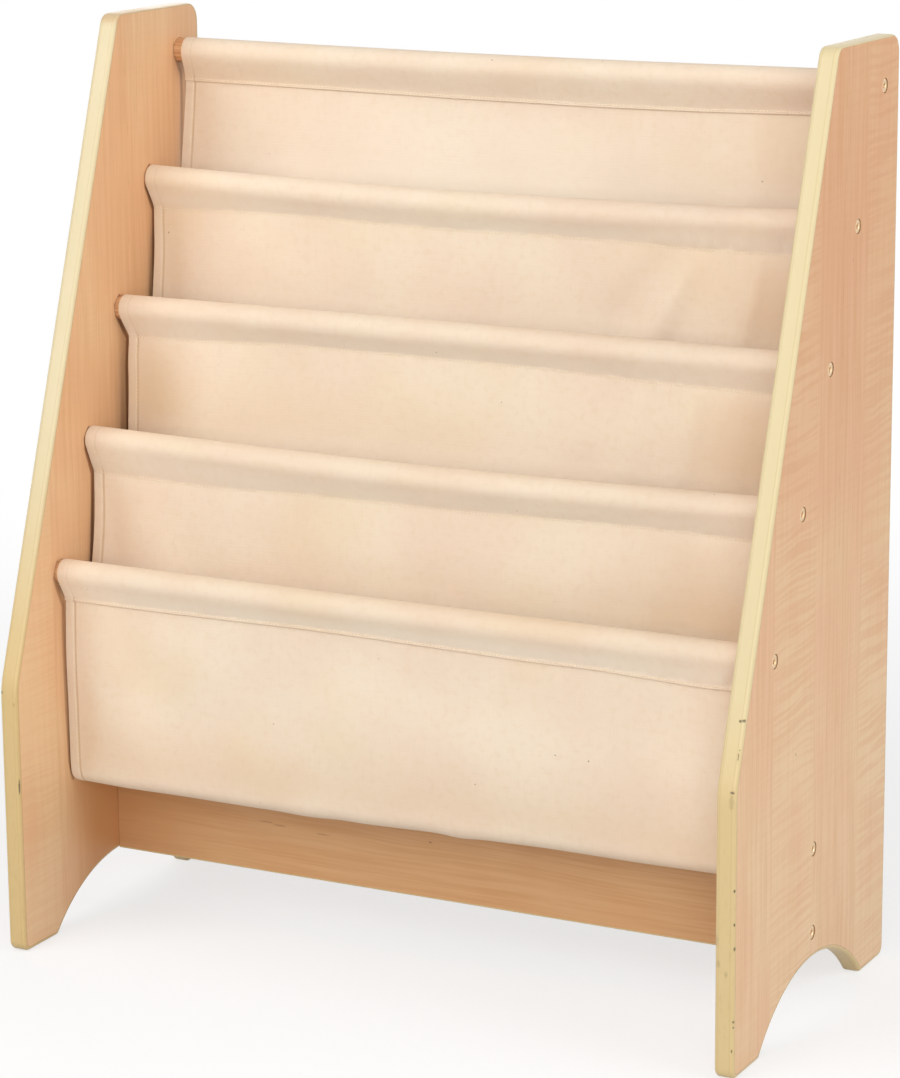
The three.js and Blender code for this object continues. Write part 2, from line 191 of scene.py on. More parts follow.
def colour(red, green, blue):
    """A colour given as it looks on a screen, from 0 to 255, in linear light."""
    shares = [value / 255 for value in (red, green, blue)]
    linear = [s / 12.92 if s <= 0.04045 else ((s + 0.055) / 1.055) ** 2.4 for s in shares]
    return (*linear, 1.0)


def arc(centre, radius, start, end, steps):
    """Points on a circle from one angle to another."""
    angles = [start + (end - start) * i / steps for i in range(steps + 1)]
    return [centre + radius * Vector((math.cos(angle), math.sin(angle))) for angle in angles]


def rounded_corner(before, corner, after, radius, steps):
    """The arc that rounds an outer corner, walking anticlockwise from one neighbour to the other."""
    back = (before - corner).normalized()
    on = (after - corner).normalized()
    half = back.angle(on) / 2
    centre = corner + (back + on).normalized() * (radius / math.sin(half))
    middle = math.atan2(*(corner - centre).yx)
    reach = math.pi / 2 - half
    return arc(centre, radius, middle - reach, middle + reach, steps)


def outward_normals(outline):
    """Unit normals of a closed anticlockwise outline, at its points."""
    normals = []
    for i in range(len(outline)):
        along = outline[(i + 1) % len(outline)] - outline[i - 1]
        normals.append(Vector((along.y, -along.x)).normalized())
    return normals


def spread(outline, spacing):
    """A closed outline with points added on its long stretches."""
    points = []
    for i, point in enumerate(outline):
        following = outline[(i + 1) % len(outline)]
        count = max(1, round((following - point).length / spacing))
        points += [point.lerp(following, step / count) for step in range(count)]
    return points


def add_object(name, data):
    """Puts a mesh, a lamp or a camera into the scene."""
    obj = bpy.data.objects.new(name, data)
    bpy.context.scene.collection.objects.link(obj)
    return obj


def finish_piece(piece, slot, *nodes):
    """Rides a piece on the shelf and hides the CAD nodes that it stands for; slot is not used."""
    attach(piece, BODY)
    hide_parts(*nodes)


class Shell:
    """Collects rings of points, and the faces between them, for one closed mesh."""

    def __init__(self):
        self.points, self.rims, self.faces, self.slots = [], [], [], []

    def ring(self, points, rim=0.0):
        start = len(self.points)
        self.points += [tuple(point) for point in points]
        self.rims += [rim] * len(points)
        return list(range(start, len(self.points)))

    def band(self, first, second, slot=0):
        """Faces between two rings of as many points; slot is one number or one for each face."""
        for i in range(len(first)):
            j = (i + 1) % len(first)
            self.faces.append((first[i], first[j], second[j], second[i]))
            self.slots.append(slot[i] if hasattr(slot, "__len__") else slot)

    def bands(self, rings, slot=0):
        for first, second in zip(rings, rings[1:]):
            self.band(first, second, slot)

    def cap(self, loops, slot=0):
        """A flat face inside the first ring, with the other rings as its holes."""
        order = [index for loop in loops for index in loop]
        corners = [[Vector(self.points[index]) for index in loop] for loop in loops]
        for triangle in geometry.tessellate_polygon(corners):
            self.faces.append(tuple(order[i] for i in triangle))
            self.slots.append(slot)

    def fan(self, ring, tip, slot=0):
        """Faces from a ring to one point."""
        last = self.ring([tip])[0]
        for i in range(len(ring)):
            self.faces.append((ring[i], ring[(i + 1) % len(ring)], last))
            self.slots.append(slot)

    def build(self, name, materials, sharp=35):
        mesh = bpy.data.meshes.new(name)
        mesh.from_pydata(self.points, [], self.faces)
        for material in materials:
            mesh.materials.append(material)
        mesh.polygons.foreach_set("material_index", self.slots)
        rim = mesh.attributes.new("rim", "FLOAT", "POINT")
        rim.data.foreach_set("value", self.rims)
        work = bmesh.new()
        work.from_mesh(mesh)
        bmesh.ops.recalc_face_normals(work, faces=work.faces)
        work.to_mesh(mesh)
        work.free()
        mesh.shade_smooth()
        mesh.set_sharp_from_angle(angle=math.radians(sharp))
        return add_object(name, mesh)


def ring_round(axis, place, radii):
    """Points at even turns round an axis that runs along X, one for each radius."""
    turns = [2 * math.pi * i / len(radii) for i in range(len(radii))]
    offs = [(radius * math.cos(turn), radius * math.sin(turn)) for radius, turn in zip(radii, turns)]
    return [(place, axis.x + y, axis.y + z) for y, z in offs]


def circle(axis, radius, place, sides=HOLE_SIDES):
    """A ring round an axis that runs along X through a point of the section."""
    return ring_round(axis, place, [radius] * sides)


# Materials


class Value:
    """A material's number at each point, for sums written as with plain numbers."""

    def __init__(self, shader, socket):
        self.shader, self.socket = shader, socket

    def beside(self, name):
        """Another output of the same node."""
        return Value(self.shader, self.socket.node.outputs[name])

    def __add__(self, other):
        return self.shader.math("ADD", self, other)

    def __sub__(self, other):
        return self.shader.math("SUBTRACT", self, other)

    def __rsub__(self, other):
        return self.shader.math("SUBTRACT", other, self)

    def __mul__(self, other):
        return self.shader.math("MULTIPLY", self, other)

    def __pow__(self, other):
        return self.shader.math("POWER", self, other)

    def __abs__(self):
        return self.shader.math("ABSOLUTE", self)


class Shader:
    """The nodes of a material or of the world, added by calls that take numbers and Values."""

    def __init__(self, owner):
        self.owner = owner
        owner.use_nodes = True
        self.tree = owner.node_tree
        self.tree.nodes.clear()

    def node(self, kind, inputs, output=0, **settings):
        """Adds a node and gives one of its outputs, if it has any."""
        node = self.tree.nodes.new(kind)
        for name, value in settings.items():
            setattr(node, name, value)
        for key, value in inputs.items():
            if isinstance(value, Value):
                self.tree.links.new(value.socket, node.inputs[key])
            else:
                node.inputs[key].default_value = value
        return Value(self, node.outputs[output]) if node.outputs else None

    def math(self, operation, *values):
        return self.node("ShaderNodeMath", dict(enumerate(values)), operation=operation)

    def vector(self, operation, inputs, output=0):
        return self.node("ShaderNodeVectorMath", inputs, output, operation=operation)

    def combine(self, x, y, z=0.0):
        return self.node("ShaderNodeCombineXYZ", {0: x, 1: y, 2: z})

    def noise(self, x, y, z=0.0, detail=2.0, roughness=0.5):
        """Cloudy noise from 0 to 1 whose features are about one unit across."""
        sizes = {"Vector": self.combine(x, y, z), "Scale": 1.0, "Detail": detail, "Roughness": roughness}
        return self.node("ShaderNodeTexNoise", sizes)

    def ramp(self, value, low, high, to_low=0.0, to_high=1.0):
        """A value between two limits, taken smoothly to another range."""
        ends = {"Value": value, "From Min": low, "From Max": high, "To Min": to_low, "To Max": to_high}
        return self.node("ShaderNodeMapRange", ends, interpolation_type="SMOOTHSTEP")

    def mix(self, share, first, second, blend="MIX"):
        ends = {0: share, 6: first, 7: second}
        return self.node("ShaderNodeMix", ends, 2, data_type="RGBA", blend_type=blend)

    def attribute(self, name):
        return self.node("ShaderNodeAttribute", {}, "Fac", attribute_name=name)

    def thousandths(self, vector):
        """A vector's three parts times a thousand, which is in millimetres for one in metres."""
        x = self.node("ShaderNodeSeparateXYZ", {0: vector})
        return [part * 1000.0 for part in (x, x.beside("Y"), x.beside("Z"))]

    def position(self):
        """The point's place on the shelf, in millimetres, as three Values."""
        return self.thousandths(self.node("ShaderNodeTexCoord", {}, "Object"))

    def marks(self, places):
        """Ragged spots at (x, y, z) in millimetres, each with its three half sizes, from 0 to 1."""
        place = self.vector("SCALE", {0: self.node("ShaderNodeTexCoord", {}, "Object"), 3: 1000.0})
        ragged = self.node("ShaderNodeTexNoise", {"Vector": place, "Scale": 1.3, "Detail": 3.0})
        spots = 0.0
        for centre, half_size in places:
            off = self.vector("SUBTRACT", {0: place, 1: centre})
            off = self.vector("DIVIDE", {0: off, 1: half_size})
            reach = self.vector("LENGTH", {0: off}, "Value") + ragged * 1.7
            spots = self.math("MAXIMUM", spots, self.ramp(reach, 1.4, 2.0, 1.0, 0.0))
        return spots

    def near_line(self, place, points, half_width):
        """1 on a line through the given points, falling to 0 beside it."""
        nearest = 1000.0
        for start, end in zip(points, points[1:]):
            run = Vector(end) - Vector(start)
            way = run.normalized()
            off = self.vector("SUBTRACT", {0: place, 1: start})
            along = self.vector("DOT_PRODUCT", {0: off, 1: way}, "Value")
            along = self.node("ShaderNodeClamp", {0: along, 1: 0.0, 2: run.length})
            foot = self.vector("SCALE", {0: way, 3: along})
            aside = self.vector("DISTANCE", {0: off, 1: foot}, "Value")
            nearest = self.math("MINIMUM", nearest, aside)
        return self.ramp(nearest, half_width * 0.4, half_width * 1.6, 1.0, 0.0)

    def bump(self, height, distance):
        return self.node("ShaderNodeBump", {"Strength": 1.0, "Distance": distance, "Height": height})

    def finish(self, **inputs):
        """Ends the material in a Principled shader with the given inputs."""
        names = {key.replace("_", " ").title().replace("Ior", "IOR"): inputs[key] for key in inputs}
        surface = self.node("ShaderNodeBsdfPrincipled", names)
        self.node("ShaderNodeOutputMaterial", {"Surface": surface})
        return self.owner


def named_shader(name):
    return Shader(bpy.data.materials.new(name))


def straight_grain(shader, across, along):
    """Long fine lines of a straight-grained board, from 0 to 1."""
    wavy = across + shader.noise(across * 0.012, along * 0.004, 3.0) * 14.0
    fine = shader.noise(wavy * 0.85, along * 0.012, 1.0, detail=3.0, roughness=0.6)
    broad = shader.noise(wavy * 0.22, along * 0.005, 2.0)
    return fine * 0.55 + broad * 0.45


def curly_figure(shader, across, along, pitch, fall):
    """Long level ripples that lie nearly square to the grain, from 0 to 1."""
    wobble = shader.noise(across * 0.020, along * 0.013, 5.0) * 8.0
    level = (along + across * fall + wobble) * (1.8 / pitch)
    ripple = shader.noise(across * 0.012, level, 8.0, detail=1.0, roughness=0.4)
    feather = shader.noise(across * 0.06, level * 2.4, 9.0)
    patchy = shader.noise(across * 0.012, along * 0.010, 6.0)
    ripples = shader.ramp(ripple * 0.84 + feather * 0.16, 0.40, 0.62)
    return ripples * shader.ramp(patchy, 0.35, 0.6, 0.55, 1.0)


def cathedral_lines(shader, across, along, middle):
    """Thin nested arches round a line along the board, from 0 to 1."""
    sway = shader.noise(along * 0.006, 4.0, 6.0) * 22.0
    off = abs(across - (middle + 11.0) + sway)
    rough = shader.noise(across * 0.2, along * 0.03, 7.0)
    line = shader.math("PINGPONG", off**1.6 * 0.11 - along * 0.022 + rough * 0.5, 0.5)
    return line * shader.ramp(off, 10.0, 30.0, 1.0, 0.25)


def band_share(shader, across, edges):
    """1 between the first and second edge and past the third, 0 elsewhere."""
    share = 0.0
    for number, edge in enumerate(edges):
        share = shader.ramp(across, edge, edge + 4.0, 0.0, (-1.0) ** number) + share
    return share


# What the dark grain and the ripples keep of each colour, and what the painted shade towards the top
# keeps
GRAIN_SHARES = (0.79, 0.64, 0.49, 1.0)
RIPPLE_SHARES = (0.88, 0.68, 0.58, 1.0)
TOP_SHADE_SHARES = (0.79, 0.56, 0.40, 1.0)


def board(
    name, axes, plank_edges, colours, ripple, figure=0.46, contrast=0.8, top_shade=0.64, wear_and_shade=None
):
    """Satin laminate printed as boards side by side, some straight-grained and some curly."""
    shader = named_shader(name)
    place = shader.position()
    across, along = [place[axis] for axis in axes]
    curly = band_share(shader, across + shader.noise(along * 0.012, 7.0) * 5.0, plank_edges)
    plain = 1.0 - curly
    grain = straight_grain(shader, across, along)
    ripples = curly_figure(shader, across, along, *ripple)
    arches = cathedral_lines(shader, across, along, sum(plank_edges[-2:]) / 2)
    pores = shader.noise(across * 2.4, along * 0.13, 4.0, detail=1.0)
    cloud = shader.noise(across * 0.016, along * 0.008, 2.0, detail=2.5)
    base = shader.mix(shader.ramp(cloud - curly * 0.16, 0.24, 0.60), *colours)
    dark = shader.ramp(grain, 0.40, 0.62, 0.0, 0.42 * contrast) * shader.ramp(plain, 0.0, 1.0, 0.35, 1.0)
    dark += shader.ramp(arches, 0.36, 0.50, 0.0, 0.34) * plain
    dark += shader.ramp(pores, 0.66, 0.78, 0.0, 0.25)
    deep = tuple(value * share for value, share in zip(colours[0], GRAIN_SHARES))
    flame = tuple(value * share for value, share in zip(colours[0], RIPPLE_SHARES))
    dark_ripples = ripples * shader.ramp(curly, 0.0, 1.0, figure * 0.3, figure)
    toned = shader.mix(dark_ripples, shader.mix(dark, base, deep), flame)
    # Painted shade: the boards darker and more orange towards the top, where less light bounces up from
    # the floor
    height = shader.ramp(place[2], 100.0, 620.0, 0.0, top_shade)
    toned = shader.mix(height, toned, TOP_SHADE_SHARES, "MULTIPLY")
    line = shader.ramp(shader.attribute("rim"), 0.1, 0.9, 0.0, 0.5)
    line *= shader.ramp(pores, 0.3, 0.6, 0.6, 1.0)
    toned = shader.mix(line, toned, colour(150, 110, 66))
    dents = shader.marks(BOARD_DENTS)
    toned = shader.mix(dents * 0.5, toned, colour(120, 80, 46))
    # Real wear marks and painted shade that one board adds of its own
    if wear_and_shade:
        toned = wear_and_shade(shader, place, toned)
    return shader.finish(
        base_color=toned,
        roughness=shader.ramp(grain, 0.3, 0.7, 0.36, 0.50),
        normal=shader.bump(grain * 0.6 + pores * 0.4 - dents * 3.0, 0.00004),
        specular_ior_level=0.4,
    )


def left_board_shade(shader, place, toned):
    """The left board's inner face: painted shade by the rail under the first pocket, and thin painted
    shadow lines in the gaps beside the canvas's edge.
    """
    x, y, z = place
    inner = shader.ramp(x, -302.0, -296.0)
    # Painted shade on the inner face by the rail, where the first pocket keeps the light off
    low = shader.ramp(y, -95.0, -35.0) * shader.ramp(z, 115.0, 165.0, 1.0, 0.0)
    toned = shader.mix(low * inner, toned, colour(217, 159, 106))
    flat = shader.combine(0.0, y, z)
    # Painted shadow in each narrow gap between the canvas's left edge and the board
    for darkness, points in CANVAS_GAP_SHADOWS:
        line = shader.near_line(flat, [(0.0, *point) for point in points], 2.0)
        toned = shader.mix(line * inner * darkness, toned, colour(132, 70, 34))
    return toned


def rail_flecks_and_shade(shader, place, toned):
    """Dark flecks along the rail's grain, and painted shade towards its left end, under the first pocket.
    """
    toned = shader.mix(shader.marks(RAIL_FLECKS) * 0.35, toned, colour(120, 74, 42))
    # Painted shade: the rail darker towards its left end
    return shader.mix(shader.ramp(place[0], -300.0, -150.0, 0.5, 0.0), toned, colour(196, 140, 90))


def edge_paint():
    """Cream-yellow satin paint on the boards' edges, with knocks and dirt along the rims, and painted
    shade low down.
    """
    shader = named_shader("cream_edge_paint")
    x, y, z = shader.position()
    mottle = shader.noise(x * 0.02, y * 0.02, z * 0.02, detail=3.0)
    # Painted shade: the paint darker and yellower on the lower, upright edges than on the slopes above,
    # where more light falls, and on the left panel up to a greater height
    low_paint = shader.mix(mottle, colour(217, 190, 136), colour(221, 196, 144))
    high_paint = shader.mix(mottle, colour(218, 199, 152), colour(222, 205, 161))
    base = shader.mix(shader.ramp(z, 190.0, 300.0), low_paint, high_paint)
    left = shader.ramp(x, -10.0, 10.0, 1.0, 0.0)
    left_paint = shader.mix(shader.ramp(z, 230.0, 430.0), colour(213, 182, 124), colour(222, 206, 167))
    base = shader.mix(left * 0.7, base, left_paint)
    base = shader.mix(left * shader.ramp(z, 706.0, 714.0, 0.0, 0.55), base, colour(204, 164, 120))
    depth = abs(x) - PANEL_INNER * 1000
    thickness = PANEL_OUTER - PANEL_INNER
    for place in (EDGE_ROUND, thickness - EDGE_ROUND):
        off = abs(depth - place * 1000)
        base = shader.mix(shader.ramp(off, 0.1, 0.7, 0.20, 0.0), base, colour(186, 152, 88))
    patch = shader.noise(x * 0.35, y * 0.35, z * 0.12, detail=3.0)
    grime = shader.ramp(patch, 0.54, 0.72) * shader.ramp(z, 0.0, 330.0, 1.0, 0.2)
    grime *= shader.ramp(shader.attribute("rim"), 0.1, 0.9, 0.08, 0.8)
    base = shader.mix(grime, base, colour(150, 112, 62))
    base = shader.mix(shader.marks(PAINT_SMEARS) * 0.30, base, colour(150, 124, 82))
    knocks = shader.marks(PAINT_KNOCKS)
    base = shader.mix(knocks * 0.80, base, colour(88, 70, 50))
    orange_peel = shader.noise(x * 0.7, y * 0.7, z * 0.7, detail=3.0)
    return shader.finish(
        base_color=base,
        roughness=shader.ramp(mottle, 0.3, 0.7, 0.34, 0.46),
        normal=shader.bump(orange_peel * 0.7 + patch * 0.3 - knocks * 3.0, 0.00012),
        specular_ior_level=0.5,
    )


def core_board():
    """Raw particle board inside the holes and at the hidden ends."""
    shader = named_shader("core_board")
    x, y, z = shader.position()
    chips = shader.noise(x * 0.9, y * 0.9, z * 0.9, detail=4.0)
    base = shader.mix(shader.ramp(chips, 0.3, 0.7), colour(142, 102, 62), colour(186, 146, 98))
    return shader.finish(base_color=base, roughness=0.85, normal=shader.bump(chips, 0.0004))


def dowel_wood():
    """Plain sanded hardwood with its grain along the rod."""
    shader = named_shader("dowel_wood")
    x, y, z = shader.position()
    grain = shader.noise(x * 0.012, y * 0.8, z * 0.8, detail=4.0)
    pores = shader.noise(x * 0.25, y * 3.0, z * 3.0, detail=1.0)
    base = shader.mix(shader.ramp(grain, 0.35, 0.65), colour(226, 176, 128), colour(204, 148, 102))
    base = shader.mix(shader.ramp(pores, 0.62, 0.75, 0.0, 0.4), base, colour(128, 82, 46))
    return shader.finish(base_color=base, roughness=0.55, normal=shader.bump(grain, 0.0002))


def canvas_cloth(seams):
    """Unbleached cotton canvas: plain weave, uneven threads, and a few dark specks of seed."""
    shader = named_shader("cotton_canvas")
    across, along, _ = shader.thousandths(shader.node("ShaderNodeUVMap", {}, uv_map="cloth"))
    weave = shader.math("SINE", across * (math.pi / 0.55))
    weave *= shader.math("SINE", along * (math.pi / 0.62))
    long_threads = shader.noise(across * 1.1, along * 0.035, 1.0)
    cross_threads = shader.noise(across * 0.035, along * 1.1, 2.0)
    threads = long_threads + cross_threads
    cloud = shader.noise(across * 0.011, along * 0.011, 3.0, detail=3.0)
    mottle = shader.noise(across * 0.16, along * 0.16, 4.0, detail=3.0)
    base = shader.mix(shader.ramp(cloud, 0.3, 0.7), colour(242, 224, 200), colour(239, 216, 192))
    base = shader.mix(shader.ramp(threads, 0.95, 1.35, 0.0, 0.12), base, colour(224, 197, 164))
    base = shader.mix(shader.ramp(mottle, 0.45, 0.75, 0.0, 0.22), base, colour(228, 200, 164))
    half_width = CANVAS_WIDTH * 500
    from_side = half_width - abs(across - half_width)
    hem = shader.attribute("hem")
    # Painted shade: a dark line along each side hem's fold
    fold = shader.ramp(abs(from_side - (HEM_WIDTH + HEM_EASE) * 1000), 0.2, 1.1, 0.52, 0.0)
    base = shader.mix(hem * fold, base, colour(190, 148, 96))
    stitch = shader.ramp(abs(from_side - HEM_STITCH * 1000), 0.3, 0.9, 0.50, 0.0)
    base = shader.mix(hem * stitch, base, colour(252, 238, 216))
    # Painted shade: a thin darker line along each seam where the cloth is sewn through
    for seam in seams:
        near_seam = shader.ramp(abs(along - seam * 1000), 0.4, 1.1, 0.12, 0.0)
        base = shader.mix(near_seam, base, colour(200, 164, 118))
    aged = shader.noise(across * 0.007, along * 0.009, 12.0)
    base = shader.mix(shader.ramp(aged, 0.50, 0.72, 0.0, 0.30), base, colour(234, 207, 164))
    # The tone marks are painted light and shade: paler above zero, yellower below zero
    tone = shader.attribute("tone")
    base = shader.mix(shader.math("MAXIMUM", tone, 0.0), base, colour(255, 244, 226))
    base = shader.mix(shader.math("MAXIMUM", tone * -1.0, 0.0), base, colour(214, 180, 138))
    cells = shader.combine(across * 0.075, along * 0.075)
    seed = shader.node("ShaderNodeTexVoronoi", {"Vector": cells, "Scale": 1.0}, "Distance")
    pick = shader.node("ShaderNodeSeparateColor", {0: seed.beside("Color")})
    speck = shader.math("LESS_THAN", seed, shader.ramp(pick, 0.80, 1.0, 0.0, 0.055))
    base = shader.mix(speck * 0.55, base, colour(128, 92, 58))
    return shader.finish(
        base_color=base,
        roughness=0.92,
        normal=shader.bump(weave * 0.22 + threads * 0.5, 0.00022),
        specular_ior_level=0.25,
        sheen_weight=0.10,
        sheen_roughness=0.5,
    )


def sewing_thread():
    shader = named_shader("sewing_thread")
    x, y, z = shader.position()
    twist = shader.math("SINE", (x + y + z) * 9.0)
    tone = shader.noise(x * 0.05, y * 0.05, z * 0.05)
    base = shader.mix(tone, colour(252, 238, 214), colour(246, 228, 200))
    return shader.finish(base_color=base, roughness=0.7, normal=shader.bump(twist, 0.00005))


def zinc_plate():
    """Yellow zinc plated steel with turning marks and a little dullness."""
    shader = named_shader("yellow_zinc")
    x, y, z = shader.position()
    dull = shader.noise(x * 0.5, y * 0.5, z * 0.5, detail=3.0)
    turning = shader.noise(x * 6.0, y * 2.0, z * 2.0)
    base = shader.mix(shader.ramp(dull, 0.3, 0.7), colour(240, 214, 180), colour(220, 190, 148))
    return shader.finish(
        base_color=base,
        metallic=1.0,
        roughness=shader.ramp(dull, 0.3, 0.7, 0.32, 0.48),
        normal=shader.bump(turning, 0.00005),
    )


RIGHT_COLOURS = colour(238, 204, 162), colour(237, 194, 154)
LEFT_COLOURS = colour(240, 204, 160), colour(238, 193, 150)
RAIL_COLOURS = colour(221, 176, 128), colour(215, 166, 118)
RIGHT_PLANKS = (-80.0, -3.0, 88.0)
LEFT_PLANKS = (-170.0, -92.0, 160.0)
RAIL_PLANKS = (300.0, 400.0, 500.0)
RIGHT_BOARD = board("right_panel_laminate", (1, 2), RIGHT_PLANKS, RIGHT_COLOURS, ripple=(7.4, -0.02))
LEFT_BOARD = board(
    "left_panel_laminate",
    (1, 2),
    LEFT_PLANKS,
    LEFT_COLOURS,
    ripple=(5.4, 0.02),
    figure=0.22,
    top_shade=0.20,
    wear_and_shade=left_board_shade,
)
RAIL_BOARD = board(
    "rail_laminate",
    (2, 0),
    RAIL_PLANKS,
    RAIL_COLOURS,
    ripple=(12.0, 0.0),
    figure=0.0,
    contrast=1.1,
    wear_and_shade=rail_flecks_and_shade,
)
EDGE_PAINT = edge_paint()
CORE_BOARD = core_board()
DOWEL_WOOD = dowel_wood()
SEWING_THREAD = sewing_thread()
ZINC_PLATE = zinc_plate()


# Side panels


def arch_outline():
    """Floor to arch to floor: a small round at each toe and one arc between them."""
    half_span = BACK - SOLE_LENGTH
    radius = (half_span**2 + ARCH_RISE**2) / (2 * ARCH_RISE)
    centre = Vector((0, ARCH_RISE - radius))
    toe_height = TOE_RADIUS - centre.y
    toe_across = math.sqrt((radius + TOE_RADIUS) ** 2 - toe_height**2)
    rise = math.atan2(toe_height, toe_across)
    front_toe = Vector((-toe_across, TOE_RADIUS))
    back_toe = Vector((toe_across, TOE_RADIUS))
    return [
        *arc(front_toe, TOE_RADIUS, -math.pi / 2, -rise, TOE_STEPS),
        *arc(centre, radius, math.pi - rise, rise, ARCH_STEPS)[1:-1],
        *arc(back_toe, TOE_RADIUS, rise - math.pi, -math.pi / 2, TOE_STEPS),
    ]


def panel_outline():
    """A panel's outline, anticlockwise from the front foot."""
    front_foot = Vector((FRONT, 0))
    back_foot = Vector((BACK, 0))
    top_back = Vector((BACK, TOP - TOP_BACK_FALL))
    top_front = Vector((BACK - TOP_DEPTH, TOP - TOP_FRONT_FALL))
    bend = Vector((FRONT, FRONT_RISE))
    corners = [
        *rounded_corner(bend, front_foot, back_foot, FOOT_RADIUS, CORNER_STEPS),
        *arch_outline(),
        *rounded_corner(front_foot, back_foot, top_back, FOOT_RADIUS, CORNER_STEPS),
        *rounded_corner(back_foot, top_back, top_front, TOP_BACK_RADIUS, TOP_BACK_STEPS),
        *rounded_corner(top_back, top_front, bend, TOP_FRONT_RADIUS, TOP_FRONT_STEPS),
        *rounded_corner(top_front, bend, front_foot, BEND_RADIUS, CORNER_STEPS),
    ]
    return spread(corners, OUTLINE_SPACING)


def edge_profile():
    """How far each ring of a panel's edge lies inside the outline, and its depth from the inner face."""
    turns = [math.pi / 2 * i / ROUND_STEPS for i in range(ROUND_STEPS + 1)]
    round_over = [
        (EDGE_ROUND * (1 - math.sin(turn)), EDGE_ROUND * (1 - math.cos(turn))) for turn in turns
    ]
    thickness = PANEL_OUTER - PANEL_INNER
    far_side = [(inset, thickness - depth) for inset, depth in reversed(round_over)]
    strip = EDGE_ROUND + RIM_WIDTH
    return [(strip, 0.0), *round_over, *far_side, (strip, thickness)]


def countersink(shell, axis, side, inner):
    """The rings of a screw hole from a place in the board out to its outer face."""
    cone_top = HEAD_FACE - HEAD_RIM - FIT_GAP
    bore = COLLAR_RADIUS + FIT_GAP
    head = HEAD_RADIUS + FIT_GAP
    places = [(bore, inner), (bore, cone_top - CONE_HEIGHT), (head, cone_top), (head, PANEL_OUTER)]
    return [shell.ring(circle(axis, radius, side * place)) for radius, place in places]


def side_panel(name, side):
    """One panel; side is 1 at the right and -1 at the left."""
    laminate, paint, core = range(3)
    shell = Shell()
    outline = panel_outline()
    normals = outward_normals(outline)
    shares = [1 - TOP_EDGE_SHARE * max(0.0, normal.y) ** 2 for normal in normals]
    profile = edge_profile()
    rings = []
    for number, (inset, depth) in enumerate(profile):
        place = side * (PANEL_INNER + depth)
        points = [
            (place, *(point - normal * inset * share))
            for point, normal, share in zip(outline, normals, shares)
        ]
        rings.append(shell.ring(points, rim=1.0 if number in (1, len(profile) - 2) else 0.0))
    shell.bands(rings[:2], laminate)
    shell.bands(rings[1:-1], paint)
    shell.bands(rings[-2:], laminate)
    inner_holes, outer_holes = [], []
    for axis in ROD_AXES:
        floor = PANEL_INNER + RECESS_DEPTH
        radius = ROD_RADIUS + FIT_GAP
        recess = [shell.ring(circle(axis, radius, side * place)) for place in (PANEL_INNER, floor)]
        hole = countersink(shell, axis, side, floor)
        shell.bands([*recess, *hole], core)
        inner_holes.append(recess[0])
        outer_holes.append(hole[-1])
    for axis in RAIL_SCREW_AXES:
        hole = countersink(shell, axis, side, PANEL_INNER)
        shell.bands(hole, core)
        inner_holes.append(hole[0])
        outer_holes.append(hole[-1])
    shell.cap([rings[0], *inner_holes], laminate)
    shell.cap([rings[-1], *outer_holes], laminate)
    laminate_board = RIGHT_BOARD if side > 0 else LEFT_BOARD
    return shell.build(name, [laminate_board, EDGE_PAINT, CORE_BOARD])


for side_name, side in (("right", 1), ("left", -1)):
    panel = side_panel(f"{side_name}_panel_board", side)
    finish_piece(panel, "panel", f"{side_name}_side_panel")


# Rods and bottom rail

ROD_SAGS = (0.0005, 0.0038, -0.0006, 0.0044, 0.0018)  # how far each rod is pulled down in its middle
SAG_REACH = 0.289
LENGTH_PLACES = 25  # rings along a rod or the rail


def pilot_holes(shell, axis, end, slot):
    """Blind holes for a screw in both ends of a piece; returns the two mouths."""
    radius = THREAD_RADIUS + FIT_GAP
    mouths = []
    for side in (-1, 1):
        depth = side * (SCREW_LOW.x - FIT_GAP)
        mouth = shell.ring(circle(axis, radius, side * end, PILOT_SIDES))
        floor = shell.ring(circle(axis, radius, depth, PILOT_SIDES))
        shell.band(mouth, floor, slot)
        shell.fan(floor, (depth, axis.x, axis.y), slot)
        mouths.append(mouth)
    return mouths


def rod_sag(number, across):
    """How far a rod hangs below its plain axis at places between the panels."""
    return ROD_SAGS[number - 1] * np.cos(np.clip(across / (2 * SAG_REACH), -0.5, 0.5) * math.pi)


def rod(name, number, axis):
    """A dowel with chamfered ends that hangs down a little in its middle."""
    shell = Shell()
    between = np.linspace(-SAG_REACH, SAG_REACH, LENGTH_PLACES)
    places = [-ROD_END, -ROD_END + ROD_CHAMFER, *between, ROD_END - ROD_CHAMFER, ROD_END]
    radii = [ROD_RADIUS - ROD_CHAMFER, *[ROD_RADIUS] * (len(places) - 2), ROD_RADIUS - ROD_CHAMFER]
    rings = []
    for radius, place in zip(radii, places):
        middle = axis - Vector((0, rod_sag(number, place)))
        rings.append(shell.ring(circle(middle, radius, place)))
    shell.bands(rings)
    mouths = pilot_holes(shell, axis, ROD_END, 0)
    shell.cap([rings[0], mouths[0]])
    shell.cap([rings[-1], mouths[1]])
    return shell.build(name, [DOWEL_WOOD])


for number, axis in enumerate(ROD_AXES, 1):
    finish_piece(rod(f"dowel_{number}", number, axis), "rod", f"sling_rod_{number}")


